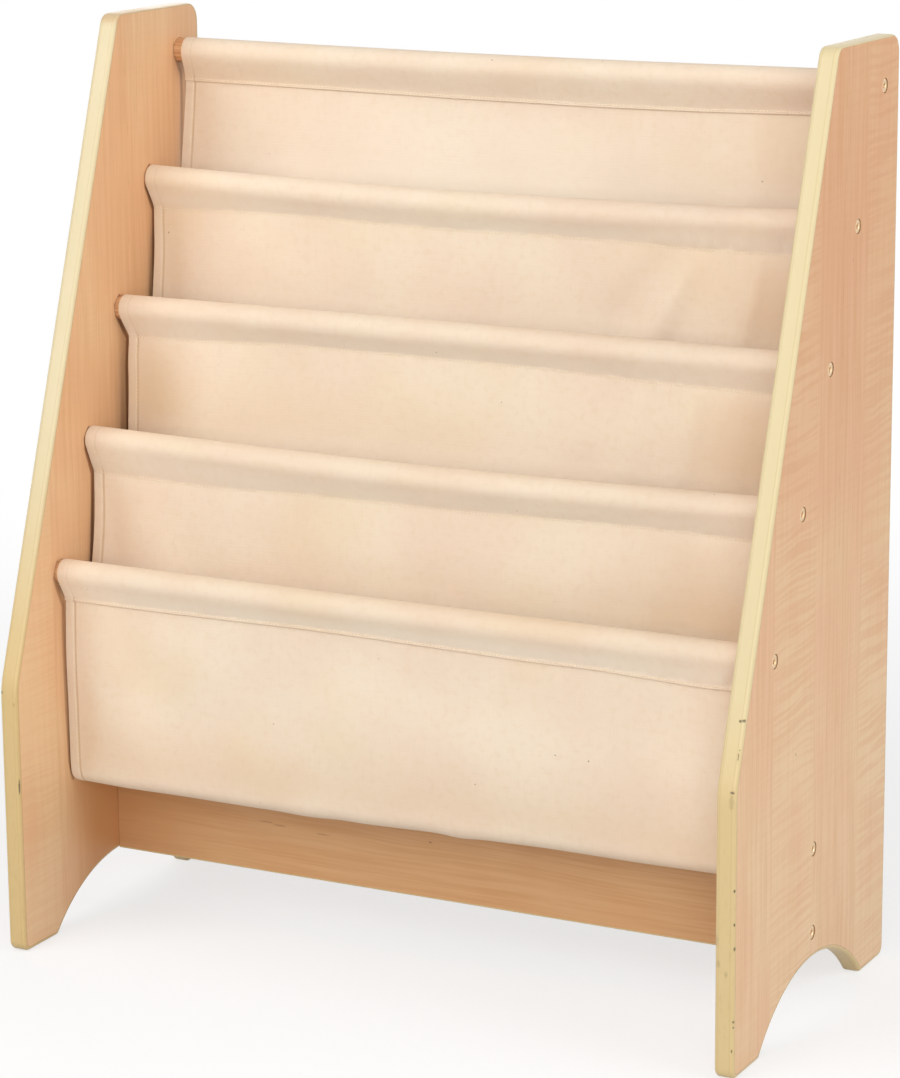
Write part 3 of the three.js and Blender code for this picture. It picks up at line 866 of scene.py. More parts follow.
def rail(name):
    """The bottom rail: laminated faces, painted round edges and raw ends."""
    laminate, paint, core = range(3)
    corners = [
        Vector((RAIL_LOW.y, RAIL_LOW.z)),
        Vector((RAIL_HIGH.y, RAIL_LOW.z)),
        Vector((RAIL_HIGH.y, RAIL_HIGH.z)),
        Vector((RAIL_LOW.y, RAIL_HIGH.z)),
    ]
    outline = []
    for i, corner in enumerate(corners):
        turn = rounded_corner(corners[i - 1], corner, corners[(i + 1) % 4], RAIL_ROUND, ROUND_STEPS)
        before = (corners[i - 1] - corner).normalized() * RIM_WIDTH
        after = (corners[(i + 1) % 4] - corner).normalized() * RIM_WIDTH
        outline += [turn[0] + before, *turn, turn[-1] + after]
    shell = Shell()
    end = RAIL_HIGH.x
    places = np.linspace(-end, end, LENGTH_PLACES)
    rings = [shell.ring([(place, *point) for point in outline]) for place in places]
    slots = []
    for i, point in enumerate(outline):
        along = outline[(i + 1) % len(outline)] - point
        slots.append(laminate if abs(along.x) < RIM_WIDTH / 1000 else paint)
    shell.bands(rings, slots)
    mouths = [pilot_holes(shell, axis, end, core) for axis in RAIL_SCREW_AXES]
    shell.cap([rings[0], *[pair[0] for pair in mouths]], core)
    shell.cap([rings[-1], *[pair[1] for pair in mouths]], core)
    return shell.build(name, [RAIL_BOARD, EDGE_PAINT, CORE_BOARD])


finish_piece(rail("rail_board"), "rail", "bottom_rail")


# Connecting screws


def hexagon(axis, across, place):
    """A hexagon with as many points as the head's rings."""
    sixth = math.pi / 3
    turns = [2 * math.pi * i / SCREW_SIDES for i in range(SCREW_SIDES)]
    off_flats = [(turn + sixth / 2) % sixth - sixth / 2 for turn in turns]
    return ring_round(axis, place, [across / 2 / math.cos(off) for off in off_flats])


def thread_ring(axis, place, side, radius):
    """One ring of a helical thread."""
    heights = [abs((place / THREAD_PITCH + i / THREAD_SIDES) % 1 * 2 - 1) for i in range(THREAD_SIDES)]
    radii = [max(radius - THREAD_DEPTH * (1 - height**3), LEAST_RADIUS) for height in heights]
    return ring_round(axis, side * place, radii)


def screw(name, axis, side):
    """Countersunk head with a hexagon socket, collar, thread and point."""
    shell = Shell()
    cone_top, lip = HEAD_FACE - HEAD_RIM, HEAD_LIP
    depths = (HEX_DEPTH, 2 * lip)
    socket = [shell.ring(hexagon(axis, HEX_ACROSS, side * (HEAD_FACE - depth))) for depth in depths]
    turned = [
        (HEX_ACROSS / math.sqrt(3) + lip, HEAD_FACE),
        (HEAD_RADIUS - 2 * lip, HEAD_FACE),
        (HEAD_RADIUS - lip / 2, HEAD_FACE - lip / 2),
        (HEAD_RADIUS, HEAD_FACE - 1.5 * lip),
        (HEAD_RADIUS, cone_top),
        (COLLAR_RADIUS, cone_top - CONE_HEIGHT),
        (COLLAR_RADIUS, HEAD_FACE - COLLAR_END),
        (THREAD_RADIUS - THREAD_DEPTH, HEAD_FACE - COLLAR_END),
    ]
    rings = [shell.ring(circle(axis, radius, side * place, SCREW_SIDES)) for radius, place in turned]
    shell.fan(socket[0], (side * (HEAD_FACE - HEX_DEPTH - lip), axis.x, axis.y))
    shell.bands([*socket, *rings])
    shell.cap([rings[-1]])
    start, end = HEAD_FACE - COLLAR_END - FIT_GAP / 3, SCREW_LOW.x
    count = round((start - end) / (THREAD_PITCH / THREAD_RINGS))
    threads = []
    for i in range(count + 1):
        place = start + (end - start) * i / count
        taper = min(1.0, (place - end) / POINT_LENGTH)
        radius = POINT_RADIUS + (THREAD_RADIUS - POINT_RADIUS) * taper
        threads.append(shell.ring(thread_ring(axis, place, side, radius)))
    shell.bands(threads)
    shell.cap([threads[0]])
    shell.cap([threads[-1]])
    return shell.build(name, [ZINC_PLATE])


for side_name, side in (("right", 1), ("left", -1)):
    for kind, axes in (("rod", ROD_AXES), ("rail", RAIL_SCREW_AXES)):
        for number, axis in enumerate(axes, 1):
            piece = screw(f"{side_name}_{kind}_screw_{number}", axis, side)
            finish_piece(piece, "screw", f"{kind}_screw_{side_name}_{number}")


# Canvas sling

# Gaps in metres between the cloth's left edge and the panel, from the first rod to the last; there is no
# back sheet at the first rod
SEAM_GAPS = (0.0023, 0.0010, 0.0060, 0.0020, 0.0042)
LEFT_GAPS = {
    "over": (0.0028, 0.0008, 0.0038, 0.0012, 0.0075),
    "hem": SEAM_GAPS,
    "seam_front": SEAM_GAPS,
    "seam_back": SEAM_GAPS,
    "front_sheet": (0.0014, 0.0025, 0.0075, 0.0035),
    "bottom": (0.0015, 0.0030, 0.0040, 0.0040),
    "back_sheet": (None, 0.0035, 0.0085, 0.0045, 0.0037),
}
SHEET_MIDDLES = {"front_sheet": (0.3, 0.8), "back_sheet": (0.2, 0.85)}  # where the sheets' gaps hold
RIGHT_GAP = 0.0020
SIDE_CLEARANCE = 0.003  # beside the cloth where its seams and folds are given
SEWN_KINDS = ("hem", "seam_front", "seam_back")
SLEEVE_KINDS = ("rise", "over", "fall")

# For each rod, places across the shelf and how far below the rod's plain axis its seam ends there
SEAM_DROPS = (
    ((-0.283, 0.0227), (-0.189, 0.0225), (-0.080, 0.0212), (-0.011, 0.0217), (0.060, 0.0228),
     (0.122, 0.0238), (0.163, 0.0232), (0.250, 0.0262), (0.281, 0.0253)),
    ((-0.287, 0.0258), (-0.250, 0.0272), (-0.177, 0.0286), (-0.106, 0.0266), (-0.036, 0.0258),
     (0.050, 0.0256), (0.099, 0.0238), (0.160, 0.0231), (0.228, 0.0230), (0.265, 0.0241)),
    ((-0.277, 0.0221), (-0.240, 0.0223), (-0.203, 0.0206), (-0.167, 0.0189), (-0.132, 0.0181),
     (0.075, 0.0184), (0.108, 0.0196), (0.173, 0.0214), (0.237, 0.0220), (0.268, 0.0229)),
    ((-0.267, 0.0236), (-0.230, 0.0230), (-0.175, 0.0217), (-0.122, 0.0226), (-0.051, 0.0242),
     (-0.017, 0.0244), (0.051, 0.0232), (0.118, 0.0240), (0.151, 0.0248), (0.215, 0.0254),
     (0.247, 0.0250)),
    ((-0.288, 0.0243), (-0.168, 0.0254), (-0.050, 0.0268), (0.070, 0.0274), (0.160, 0.0266),
     (0.249, 0.0245)),
)

# How far below rod 1 the first pocket's underside hangs, at places across the shelf
FIRST_BOTTOM = (
    (-0.291, 0.1736), (-0.244, 0.1747), (-0.189, 0.1742), (-0.134, 0.1744), (-0.107, 0.1742),
    (-0.081, 0.1752), (-0.054, 0.1735), (-0.028, 0.1737), (0.023, 0.1720), (0.060, 0.1720),
    (0.124, 0.1704), (0.198, 0.1706), (0.290, 0.1694),
)

# Soft folds: the kind of sheet and the rod that it hangs from, the place across and the drop below
# the seam where the fold starts and ends, its half width, and its height towards the front
SHEET_FOLDS = (
    ("front_sheet", 1, (-0.230, 0.010), (-0.150, 0.060), 0.022, 0.0012),
    ("front_sheet", 1, (-0.040, 0.000), (0.060, 0.110), 0.030, 0.0014),
    ("front_sheet", 1, (0.180, 0.020), (0.250, 0.130), 0.024, 0.0014),
    ("front_sheet", 1, (0.268, -0.004), (0.274, 0.050), 0.005, 0.0011),
    ("front_sheet", 1, (-0.268, 0.120), (-0.281, 0.160), 0.005, 0.0012),
    ("back_sheet", 2, (-0.245, 0.000), (-0.165, 0.095), 0.020, -0.0016),
    ("back_sheet", 2, (0.150, 0.005), (0.120, 0.080), 0.018, 0.0014),
    ("back_sheet", 3, (0.120, -0.004), (0.112, 0.060), 0.010, 0.0018),
    ("back_sheet", 3, (0.160, -0.004), (0.155, 0.075), 0.009, 0.0020),
    ("back_sheet", 3, (0.205, -0.004), (0.195, 0.070), 0.010, 0.0024),
    ("back_sheet", 4, (0.184, -0.002), (0.130, 0.095), 0.011, 0.0042),
    ("back_sheet", 4, (0.160, -0.002), (0.100, 0.070), 0.012, -0.0026),
    ("back_sheet", 4, (0.232, -0.002), (0.218, 0.075), 0.009, 0.0036),
    ("back_sheet", 4, (-0.210, 0.010), (-0.120, 0.080), 0.030, 0.0016),
    ("back_sheet", 5, (-0.150, 0.010), (-0.070, 0.080), 0.030, 0.0014),
    ("back_sheet", 5, (0.200, -0.002), (0.215, 0.085), 0.014, 0.0026),
)

# Painted light (above zero, paler) and painted shade (below zero, yellower) on the cloth: the stretch and
# its rod, the middle across the shelf and below the seam or before a sleeve part's end, the half sizes
# both ways, and the amount
CLOTH_LIGHT_AND_SHADE = (
    ("back_sheet", 5, 0.0, 0.078, 0.60, 0.026, 0.70),
    ("back_sheet", 5, -0.04, 0.040, 0.22, 0.040, 0.35),
    ("back_sheet", 5, 0.262, 0.075, 0.045, 0.030, -0.20),
    ("back_sheet", 5, -0.272, 0.050, 0.014, 0.070, -0.30),
    ("back_sheet", 4, 0.0, 0.078, 0.60, 0.022, 0.55),
    ("back_sheet", 4, 0.252, 0.050, 0.042, 0.070, -0.50),
    ("back_sheet", 4, -0.270, 0.050, 0.014, 0.060, -0.35),
    ("back_sheet", 3, 0.0, 0.078, 0.60, 0.020, 0.40),
    ("back_sheet", 3, 0.250, 0.050, 0.046, 0.070, -0.55),
    ("back_sheet", 3, -0.262, 0.040, 0.028, 0.050, -0.60),
    ("back_sheet", 2, 0.0, 0.084, 0.60, 0.014, 0.90),
    ("back_sheet", 2, -0.030, 0.060, 0.120, 0.016, -0.15),
    ("back_sheet", 2, 0.240, 0.060, 0.060, 0.050, -0.48),
    ("back_sheet", 2, -0.266, 0.050, 0.014, 0.060, -0.20),
    ("front_sheet", 1, -0.04, 0.050, 0.26, 0.040, 0.12),
    ("front_sheet", 1, 0.0, 0.135, 0.60, 0.036, -0.30),
    ("front_sheet", 1, -0.275, 0.090, 0.012, 0.080, -0.24),
    ("front_sheet", 1, 0.285, 0.060, 0.030, 0.090, -0.15),
    ("rise", 1, 0.0, 0.010, 0.60, 0.010, 0.50),
    ("rise", 2, 0.0, 0.010, 0.60, 0.010, 0.35),
    ("rise", 3, 0.0, 0.010, 0.60, 0.010, 0.35),
    ("rise", 4, 0.0, 0.010, 0.60, 0.010, 0.50),
    ("fall", 5, 0.0, 0.006, 0.60, 0.010, 0.45),
    ("over", 1, 0.0, 0.020, 0.60, 0.012, -0.20),
    ("over", 2, 0.0, 0.020, 0.60, 0.012, -0.12),
    ("over", 3, 0.0, 0.020, 0.60, 0.012, -0.10),
)

# A small fold across the first sleeve by the right panel: its place at the top and at the seam, its half
# width and its height
SLEEVE_PINCH = (0.2790, 0.2650, 0.0028, 0.0016)
SLEEVE_HEM = 0.22  # how much of the side hems shows on the sleeves

# Left edges that stand forward: the sheet, the place at its seam and at the depth of the curl of the
# line that the cloth rises from, its slope and how soft the line is
CURL_DEPTH = 0.085
CURL_START = 0.008
EDGE_CURLS = (
    ("front_sheet", 1, -0.286, -0.278, 0.16, 0.0020),
    ("back_sheet", 2, -0.284, -0.262, 0.30, 0.0014),
    ("back_sheet", 3, -0.238, -0.262, 0.07, 0.0080),
    ("back_sheet", 4, -0.288, -0.266, 0.24, 0.0016),
    ("back_sheet", 5, -0.288, -0.250, 0.10, 0.0060),
)

# The mesh's rows along each kind of stretch
ROWS = {
    "hem": 8, "rise": 6, "over": 20, "fall": 6, "seam_back": 3, "front_sheet": 26, "bottom": 18,
    "back_sheet": 44, "seam_front": 3,
}

# The mesh's columns: their distances from each side edge round the hem, and those between
SIDE_COLUMNS = (
    0.0, 0.0005, 0.0020, 0.0040, 0.0058, 0.0066, 0.0070, 0.0074, 0.0080, 0.0086, 0.0090, 0.0110,
)
MIDDLE_START = 0.0140
MIDDLE_COLUMNS = 196

# Heights of the cloth's waves and of its gathers by a seam, and the depth of a line of stitches
SLEEVE_WAVES = 0.00015
SLEEVE_GATHERS = 0.0032
SHEET_WAVES = 0.0024
SHEET_GATHERS = 0.0030
GATHER_START, GATHER_LENGTH = 0.004, 0.016
STITCH_GROOVE = 0.00030
EDGE_BULGE = 0.7  # how far the cloth's edge is rounded out, as a share of its half thickness

# Shape of the pockets' undersides: a dip in the first, the others' sag and their raised left corners
FIRST_DIP = 0.0012
POCKET_SAG = 0.0025
CORNER_LIFT = 0.0035


def bell(value, middle, width):
    """1 at the middle, falling softly to 0 on both sides."""
    return np.exp(-(((value - middle) / width) ** 2))


def unit(vectors):
    """Vectors of length one, the same way."""
    return vectors / np.linalg.norm(vectors, axis=-1, keepdims=True)


def smoothed(rows, passes):
    """Values or rows averaged with their neighbours, with the first and last kept."""
    for _ in range(passes):
        inner = (rows[:-2] + 2 * rows[1:-1] + rows[2:]) / 4
        rows = np.concatenate([rows[:1], inner, rows[-1:]])
    return rows


def eased(across, places):
    """A short list of places and values, read and softened along the shelf."""
    return smoothed(np.interp(across, *zip(*places)), 12)


def tangent_angle(point, centre, radius, turn):
    """The angles at which lines from points touch circles, on the side that turn picks."""
    x, y = (point - centre).T
    return np.arctan2(y, x) + turn * np.arccos(radius / np.hypot(x, y))


def on_circle(centre, radius, angle):
    """A point on a circle for each column of the cloth."""
    return centre + radius * np.stack([np.cos(angle), np.sin(angle)], axis=1)


class Route:
    """Rows of section points along the strip; each row has one point for each column of the cloth.

    Each row belongs to one kind of stretch at one rod, and lies at some share of its length: a hem or a
    seam, the front sheet below a rod, a pocket's bottom, the back sheet up to a rod, or a sleeve's front
    (rise), top (over) or back (fall).
    """

    def __init__(self, across):
        self.across = across
        self.rows, self.kinds, self.numbers, self.shares = [], [], [], []

    def add(self, points, kind, number, share):
        self.rows.append(points)
        self.kinds.append(kind)
        self.numbers.append(number)
        self.shares.append(share)

    def line(self, start, end, kind, number):
        for share in np.arange(ROWS[kind]) / ROWS[kind]:
            self.add(start + (end - start) * share, kind, number, share)

    def arc(self, centre, radius, start, end, kind, number):
        for share in np.arange(ROWS[kind]) / ROWS[kind]:
            self.add(on_circle(centre, radius, start + (end - start) * share), kind, number, share)

    def spot(self, axis, behind, drop):
        """A section point for every column, from a rod's axis; the drop may differ across the shelf."""
        column = np.ones(len(self.across))
        return np.stack([(axis.x + behind) * column, (axis.y - drop) * column], axis=1)

    def rows_of(self, kind, number):
        """True for the rows of one stretch and False for the others."""
        return (np.array(self.kinds) == kind) & (np.array(self.numbers) == number)

    def middle_row(self, kind, number):
        """The row in a stretch's middle, or None where the rod has no such stretch."""
        rows = np.flatnonzero(self.rows_of(kind, number))
        return rows[len(rows) // 2] if len(rows) else None


def seam_points(route, number, layer, length=SEAM_LENGTH):
    """The lower and upper end of one layer of a rod's seam; layer is -1 in front and 1 behind."""
    axis = ROD_AXES[number - 1]
    drop = eased(route.across, SEAM_DROPS[number - 1]) + (0.0 if number in END_HEMS else SEAM_LENGTH / 2)
    behind = SEAM_BEHIND_ROD + layer * SEAM_HALF_GAP
    return route.spot(axis, behind, drop), route.spot(axis, behind, drop - length)


def end_hem(route, number):
    """The lower and upper end of the hem at the strip's start or end; its lower edge stands forward."""
    low, high = seam_points(route, number, -1, END_HEMS[number])
    low[:, 0] -= HEM_LEAN
    return low, high


def lay_sleeve(route, number, front_first):
    """Up one side of a rod, over it and down the other side."""
    centre = route.spot(ROD_AXES[number - 1], 0.0, rod_sag(number, route.across))
    front = seam_points(route, number, -1, END_HEMS.get(number, SEAM_LENGTH))[1]
    back = seam_points(route, number, 1)[1]
    front_angle = tangent_angle(front, centre, SLEEVE_RADIUS, -1) + 2 * math.pi
    back_angle = tangent_angle(back, centre, SLEEVE_RADIUS, 1)
    ends = [(front, front_angle, "rise"), (back, back_angle, "fall")]
    (start, start_angle, start_kind), (end, end_angle, end_kind) = ends if front_first else ends[::-1]
    route.line(start, on_circle(centre, SLEEVE_RADIUS, start_angle), start_kind, number)
    route.arc(centre, SLEEVE_RADIUS, start_angle, end_angle, "over", number)
    route.line(on_circle(centre, SLEEVE_RADIUS, end_angle), end, end_kind, number)


def pocket_drop(across, number):
    """How far below its front rod a pocket's underside hangs, across its width."""
    if number == 1:
        return eased(across, FIRST_BOTTOM) + FIRST_DIP * bell(across, 0.050, 0.012)
    sag = POCKET_SAG * bell(across, 0.060 * (3 - number), 0.140)
    return POCKET_DROP + sag - CORNER_LIFT * bell(across, -0.295, 0.012)


def lay_pocket(route, number):
    """Down from a rod's seam, round the pocket's bottom and up to the next rod's seam."""
    back_layer = -1 if number + 1 < len(ROD_AXES) else 1
    seam_end, seam_start = seam_points(route, number, 1)
    next_end, next_start = seam_points(route, number + 1, back_layer)
    centre = route.spot(ROD_AXES[number - 1], POCKET_BEHIND_ROD, 0.0)
    centre[:, 1] -= pocket_drop(route.across, number) - POCKET_RADIUS
    start = tangent_angle(seam_end, centre, POCKET_RADIUS, 1)
    end = tangent_angle(next_end, centre, POCKET_RADIUS, -1) + 2 * math.pi
    route.line(seam_start, seam_end, "seam_back", number)
    route.line(seam_end, on_circle(centre, POCKET_RADIUS, start), "front_sheet", number)
    route.arc(centre, POCKET_RADIUS, start, end, "bottom", number)
    route.line(on_circle(centre, POCKET_RADIUS, end), next_end, "back_sheet", number + 1)
    route.line(next_end, next_start, "seam_front", number + 1)


def lay_strip(route):
    """The whole strip, from the hem at the first rod to the hem at the last."""
    last = len(ROD_AXES)
    low, high = end_hem(route, 1)
    route.line(low, high, "hem", 1)
    lay_sleeve(route, 1, front_first=True)
    for number in range(1, last):
        lay_pocket(route, number)
        lay_sleeve(route, number + 1, front_first=number + 1 < last)
    low, high = end_hem(route, last)
    route.line(high, low, "hem", last)
    route.add(low, "hem", last, 1.0)


def cloth_columns():
    """Distances across the cloth, closer together at the hems."""
    middle = np.linspace(MIDDLE_START, CANVAS_WIDTH - MIDDLE_START, MIDDLE_COLUMNS)
    return np.array([*SIDE_COLUMNS, *middle, *[CANVAS_WIDTH - place for place in SIDE_COLUMNS[::-1]]])


def edge_gaps(route):
    """The left edge's gap to the panel for each row, eased between the places where it is known."""
    known = {}
    for row, (kind, number, share) in enumerate(zip(route.kinds, route.numbers, route.shares)):
        start, end = SHEET_MIDDLES.get(kind, (0, 1))
        if kind in LEFT_GAPS and start <= share <= end:
            known[row] = LEFT_GAPS[kind][number - 1]
    return np.interp(np.arange(len(route.rows)), list(known), list(known.values()))


def below_seam(kind, along):
    """How far a sheet's points lie below its seam, or those of a sleeve's part before its end."""
    return along - along.min(axis=0) if kind == "front_sheet" else along.max(axis=0) - along


def fold_height(across, drop, start, end, half_width, height):
    """Height of one soft fold at places on a sheet."""
    start, end = Vector(start), Vector(end)
    along = (end - start).normalized()
    from_start = np.stack([across - start.x, drop - start.y], axis=-1)
    run = np.clip(from_start @ np.array(along) / (end - start).length, 0, 1)
    aside = from_start @ np.array((along.y, -along.x))
    return height * np.sin(np.pi * run) ** 0.7 * bell(aside, 0, half_width * (0.6 + 0.7 * run))


def edge_curl(across, drop, top, low, slope, soft):
    """Height of a left edge that stands forward of a line down the sheet, flat over the side hem."""
    line = top + (low - top) * drop / CURL_DEPTH
    hem = HEM_WIDTH + SIDE_CLEARANCE - PANEL_INNER
    rise = soft * np.logaddexp(0, (line - np.maximum(across, hem)) / soft)
    fade = np.clip((2 * CURL_DEPTH - drop) / CURL_DEPTH, 0, 1)
    return slope * rise * fade**2 * (3 - 2 * fade) * (1 - np.exp(-np.maximum(drop, 0) / CURL_START))


def cloud_noise(across, along, size, seed):
    """Smooth noise from -1 to 1 on a grid of places, with features of about the given size."""
    rows = []
    for row in range(across.shape[0]):
        places = zip(across[row] / size[0], along[row] / size[1])
        rows.append([noise.noise(Vector((x, y, seed))) for x, y in places])
    return np.array(rows)


def swell(shares):
    """0 at both ends of a stretch and 1 in its middle, for each of its rows."""
    return (np.sin(np.pi * shares) ** 0.6)[:, None]


def sleeve_puckers(route, pucker, relief):
    """Small gathers across each sleeve beside its seam, and the fold across the first one."""
    all_shares = np.array(route.shares)
    for number in ROD_NUMBERS:
        outward = -1 if number == len(ROD_AXES) else 1
        for kind in ("rise", "fall"):
            rows = route.rows_of(kind, number)
            seam_first = (kind == "rise") == (outward > 0)
            from_seam = all_shares[rows] if seam_first else 1 - all_shares[rows]
            window = bell(from_seam, 0.35, 0.35)[:, None]
            relief[rows] += outward * SLEEVE_GATHERS * pucker[rows] * window
    rows = route.rows_of("rise", 1)
    shares = all_shares[rows]
    top, low, half_width, height = SLEEVE_PINCH
    line = (low + (top - low) * shares)[:, None]
    off = (route.across[None, :] - line) / half_width
    relief[rows] += height * (bell(off, 0, 1) - 0.6 * bell(off, 2.2, 1)) * swell(shares)


def sheet_height(kind, number, shares, across, drop, broad, pucker):
    """Waves, gathers and folds of one hanging sheet, towards the front."""
    height = SHEET_WAVES * broad * swell(shares)
    height += SHEET_GATHERS * pucker * np.exp(-drop / GATHER_LENGTH) * (1 - np.exp(-drop / GATHER_START))
    for places, shape in ((SHEET_FOLDS, fold_height), (EDGE_CURLS, edge_curl)):
        for place_kind, place_number, *sizes in places:
            if (place_kind, place_number) == (kind, number):
                height += shape(across, drop, *sizes)
    return height


def cloth_relief(route, across, along):
    """How far each point of the cloth stands off its plain route, to the left as the strip runs."""
    relief = np.zeros_like(across)
    broad = cloud_noise(across, along, (0.085, 0.070), 11.0)
    narrow = cloud_noise(across, along, (0.0075, 0.050), 23.0)
    patches = cloud_noise(across, along, (0.060, 0.090), 37.0)
    right = np.clip((across + 0.30) / 0.60, 0, 1)
    creases = 0.35 - 1.5 * np.abs(narrow)
    pucker = creases * (0.35 + 0.65 * right**2) * np.clip(0.7 + 1.2 * patches, 0.1, 1.4)
    sleeve_puckers(route, pucker, relief)
    over = np.array(route.kinds) == "over"
    relief[over] += SLEEVE_WAVES * broad[over]
    for kind, number in sorted(set(zip(route.kinds, route.numbers))):
        if kind in ("front_sheet", "back_sheet"):
            rows = route.rows_of(kind, number)
            drop = below_seam(kind, along[rows])
            shares = np.array(route.shares)[rows]
            height = sheet_height(kind, number, shares, across[rows], drop, broad[rows], pucker[rows])
            relief[rows] += -height if kind == "front_sheet" else height
    return relief


def hem_share(route):
    """How plainly the side hems show on each row: less on the sleeves."""
    return smoothed(np.where(np.isin(route.kinds, SLEEVE_KINDS), SLEEVE_HEM, 1.0), 3)


def cloth_half_thickness(route, distance):
    """Half the cloth's thickness at each point, with its sewn edges and stitch grooves."""
    from_side = np.minimum(distance, CANVAS_WIDTH - distance)
    plain = hem_share(route)[:, None]
    side_fold = np.clip((HEM_WIDTH + HEM_EASE - from_side) / (2 * HEM_EASE), 0, 1)
    hem = np.array([kind == "hem" for kind in route.kinds], float)[:, None]
    half = CANVAS_HALF + (FOLDED_HALF - CANVAS_HALF) * np.maximum(side_fold * plain, hem)
    return half - STITCH_GROOVE * bell(from_side, HEM_STITCH, 0.0005) * plain


def cloth_light_and_shade(route, across, along):
    """Painted light (above zero, paler) and painted shade (below zero, yellower) on the cloth, for each
    of its points.
    """
    tone = np.zeros_like(across)
    for kind, number, middle, depth, half_across, half_depth, amount in CLOTH_LIGHT_AND_SHADE:
        rows = route.rows_of(kind, number)
        drop = below_seam(kind, along[rows])
        tone[rows] += amount * bell(across[rows], middle, half_across) * bell(drop, depth, half_depth)
    return smoothed(tone, 4)


def sling_surface():
    """The strip's route, its middle surface with the normals, half thickness, flat places and marks."""
    distance = cloth_columns()
    share = distance / CANVAS_WIDTH
    route = Route((PANEL_INNER - SIDE_CLEARANCE) * (2 * share - 1))
    lay_strip(route)
    section = smoothed(np.array(route.rows), 2)
    steps = np.linalg.norm(np.diff(section, axis=0), axis=2)
    length = np.concatenate([np.zeros((1, len(share))), np.cumsum(steps, axis=0)])
    left = smoothed(edge_gaps(route), 6)[:, None] - PANEL_INNER
    x = left + share * (PANEL_INNER - RIGHT_GAP - left)
    points = np.dstack([x, section])
    relief = smoothed(cloth_relief(route, x, length), 1)
    tangent = np.gradient(section, axis=0)
    left_side = unit(np.dstack([-tangent[:, :, 1], tangent[:, :, 0]]))
    points[:, :, 1:] += left_side * relief[:, :, None]
    normals = unit(np.cross(np.gradient(points, axis=1), np.gradient(points, axis=0)))
    half = cloth_half_thickness(route, distance)
    flat = np.dstack(np.broadcast_arrays(distance, length.mean(axis=1, keepdims=True)))
    hem = np.broadcast_to(hem_share(route)[:, None], x.shape)
    return route, points, normals, half, flat, {"tone": cloth_light_and_shade(route, x, length), "hem": hem}


def seam_places(route, flat):
    """Distances along the strip at which it is sewn through."""
    rows = [route.middle_row(kind, number) for number in ROD_NUMBERS for kind in SEWN_KINDS]
    return [float(flat[row, 0, 1]) for row in rows if row is not None]


def grid_faces(rows, columns, start, flip):
    """Quads of a grid of points that is stored row by row."""
    index = start + np.arange(rows * columns).reshape(rows, columns)
    corners = [index[:-1, :-1], index[:-1, 1:], index[1:, 1:], index[1:, :-1]]
    if flip:
        corners.reverse()
    return np.stack([corner.ravel() for corner in corners], axis=1)


def border(rows, columns):
    """The points round a grid, in order."""
    index = np.arange(rows * columns).reshape(rows, columns)
    return np.concatenate([index[0, :-1], index[:-1, -1], index[-1, :0:-1], index[:0:-1, 0]])


def canvas_mesh(name, material, points, normals, half, flat, marks):
    """A closed shell round the strip's middle surface, with rounded edges."""
    rows, columns = points.shape[:2]
    count = rows * columns
    front = (points + normals * half[:, :, None]).reshape(-1, 3)
    back = (points - normals * half[:, :, None]).reshape(-1, 3)
    around = border(rows, columns)
    rows_way = np.gradient(points, axis=0)
    columns_way = np.gradient(points, axis=1)
    edge_way = np.zeros_like(points)
    edge_way[0], edge_way[-1] = -rows_way[0], rows_way[-1]
    edge_way[:, 0] -= columns_way[:, 0]
    edge_way[:, -1] += columns_way[:, -1]
    outward = unit(edge_way.reshape(-1, 3)[around])
    edge = points.reshape(-1, 3)[around] + outward * half.reshape(-1)[around][:, None] * EDGE_BULGE
    faces = [grid_faces(rows, columns, 0, True), grid_faces(rows, columns, count, False)]
    following = np.roll(np.arange(len(around)), -1)
    edge_line = 2 * count + np.arange(len(around))
    for first, second in ((around, edge_line), (edge_line, count + around)):
        faces.append(np.stack([first, first[following], second[following], second], axis=1))
    mesh = bpy.data.meshes.new(name)
    mesh.from_pydata(np.concatenate([front, back, edge]).tolist(), [], np.concatenate(faces).tolist())
    mesh.materials.append(material)
    flat_points = flat.reshape(-1, 2)
    all_flat = np.concatenate([flat_points, flat_points, flat_points[around]])
    loops = np.zeros(len(mesh.loops), int)
    mesh.loops.foreach_get("vertex_index", loops)
    mesh.uv_layers.new(name="cloth").data.foreach_set("uv", all_flat[loops].ravel())
    for mark, grid in marks.items():
        values = grid.ravel()
        attribute = mesh.attributes.new(mark, "FLOAT", "POINT")
        attribute.data.foreach_set("value", np.concatenate([values, values, values[around]]))
    mesh.shade_smooth()
    return add_object(name, mesh)


def thread_stitch(shell, centre, along, normal):
    """One stitch: a short rounded thread lying on the cloth."""
    reach, radius = STITCH_LENGTH / 2, THREAD_SIZE / 2
    side = np.cross(normal, along)
    turns = [2 * math.pi * i / STITCH_SIDES for i in range(STITCH_SIDES)]
    around = [radius * (side * math.cos(turn) + normal * (math.sin(turn) + 0.5)) for turn in turns]
    middles = [centre + along * reach * place for place in (-0.6, 0.6)]
    rings = [shell.ring([middle + off for off in around]) for middle in middles]
    shell.band(*rings)
    shell.fan(rings[0], centre - along * reach)
    shell.fan(rings[1], centre + along * reach)


def line_of_stitches(shell, path, normals):
    """Stitches at an even pitch along a row or column of the cloth's face."""
    steps = np.linalg.norm(np.diff(path, axis=0), axis=1)
    length = np.concatenate([[0], np.cumsum(steps)])

    def at(place, values):
        return np.array([np.interp(place, length, values[:, axis]) for axis in range(3)])

    for start in np.arange(STITCH_PITCH, length[-1] - STITCH_PITCH, STITCH_PITCH):
        centre = at(start, path)
        along = unit(at(start + STITCH_PITCH / 3, path) - centre)
        thread_stitch(shell, centre, along, unit(at(start, normals)))


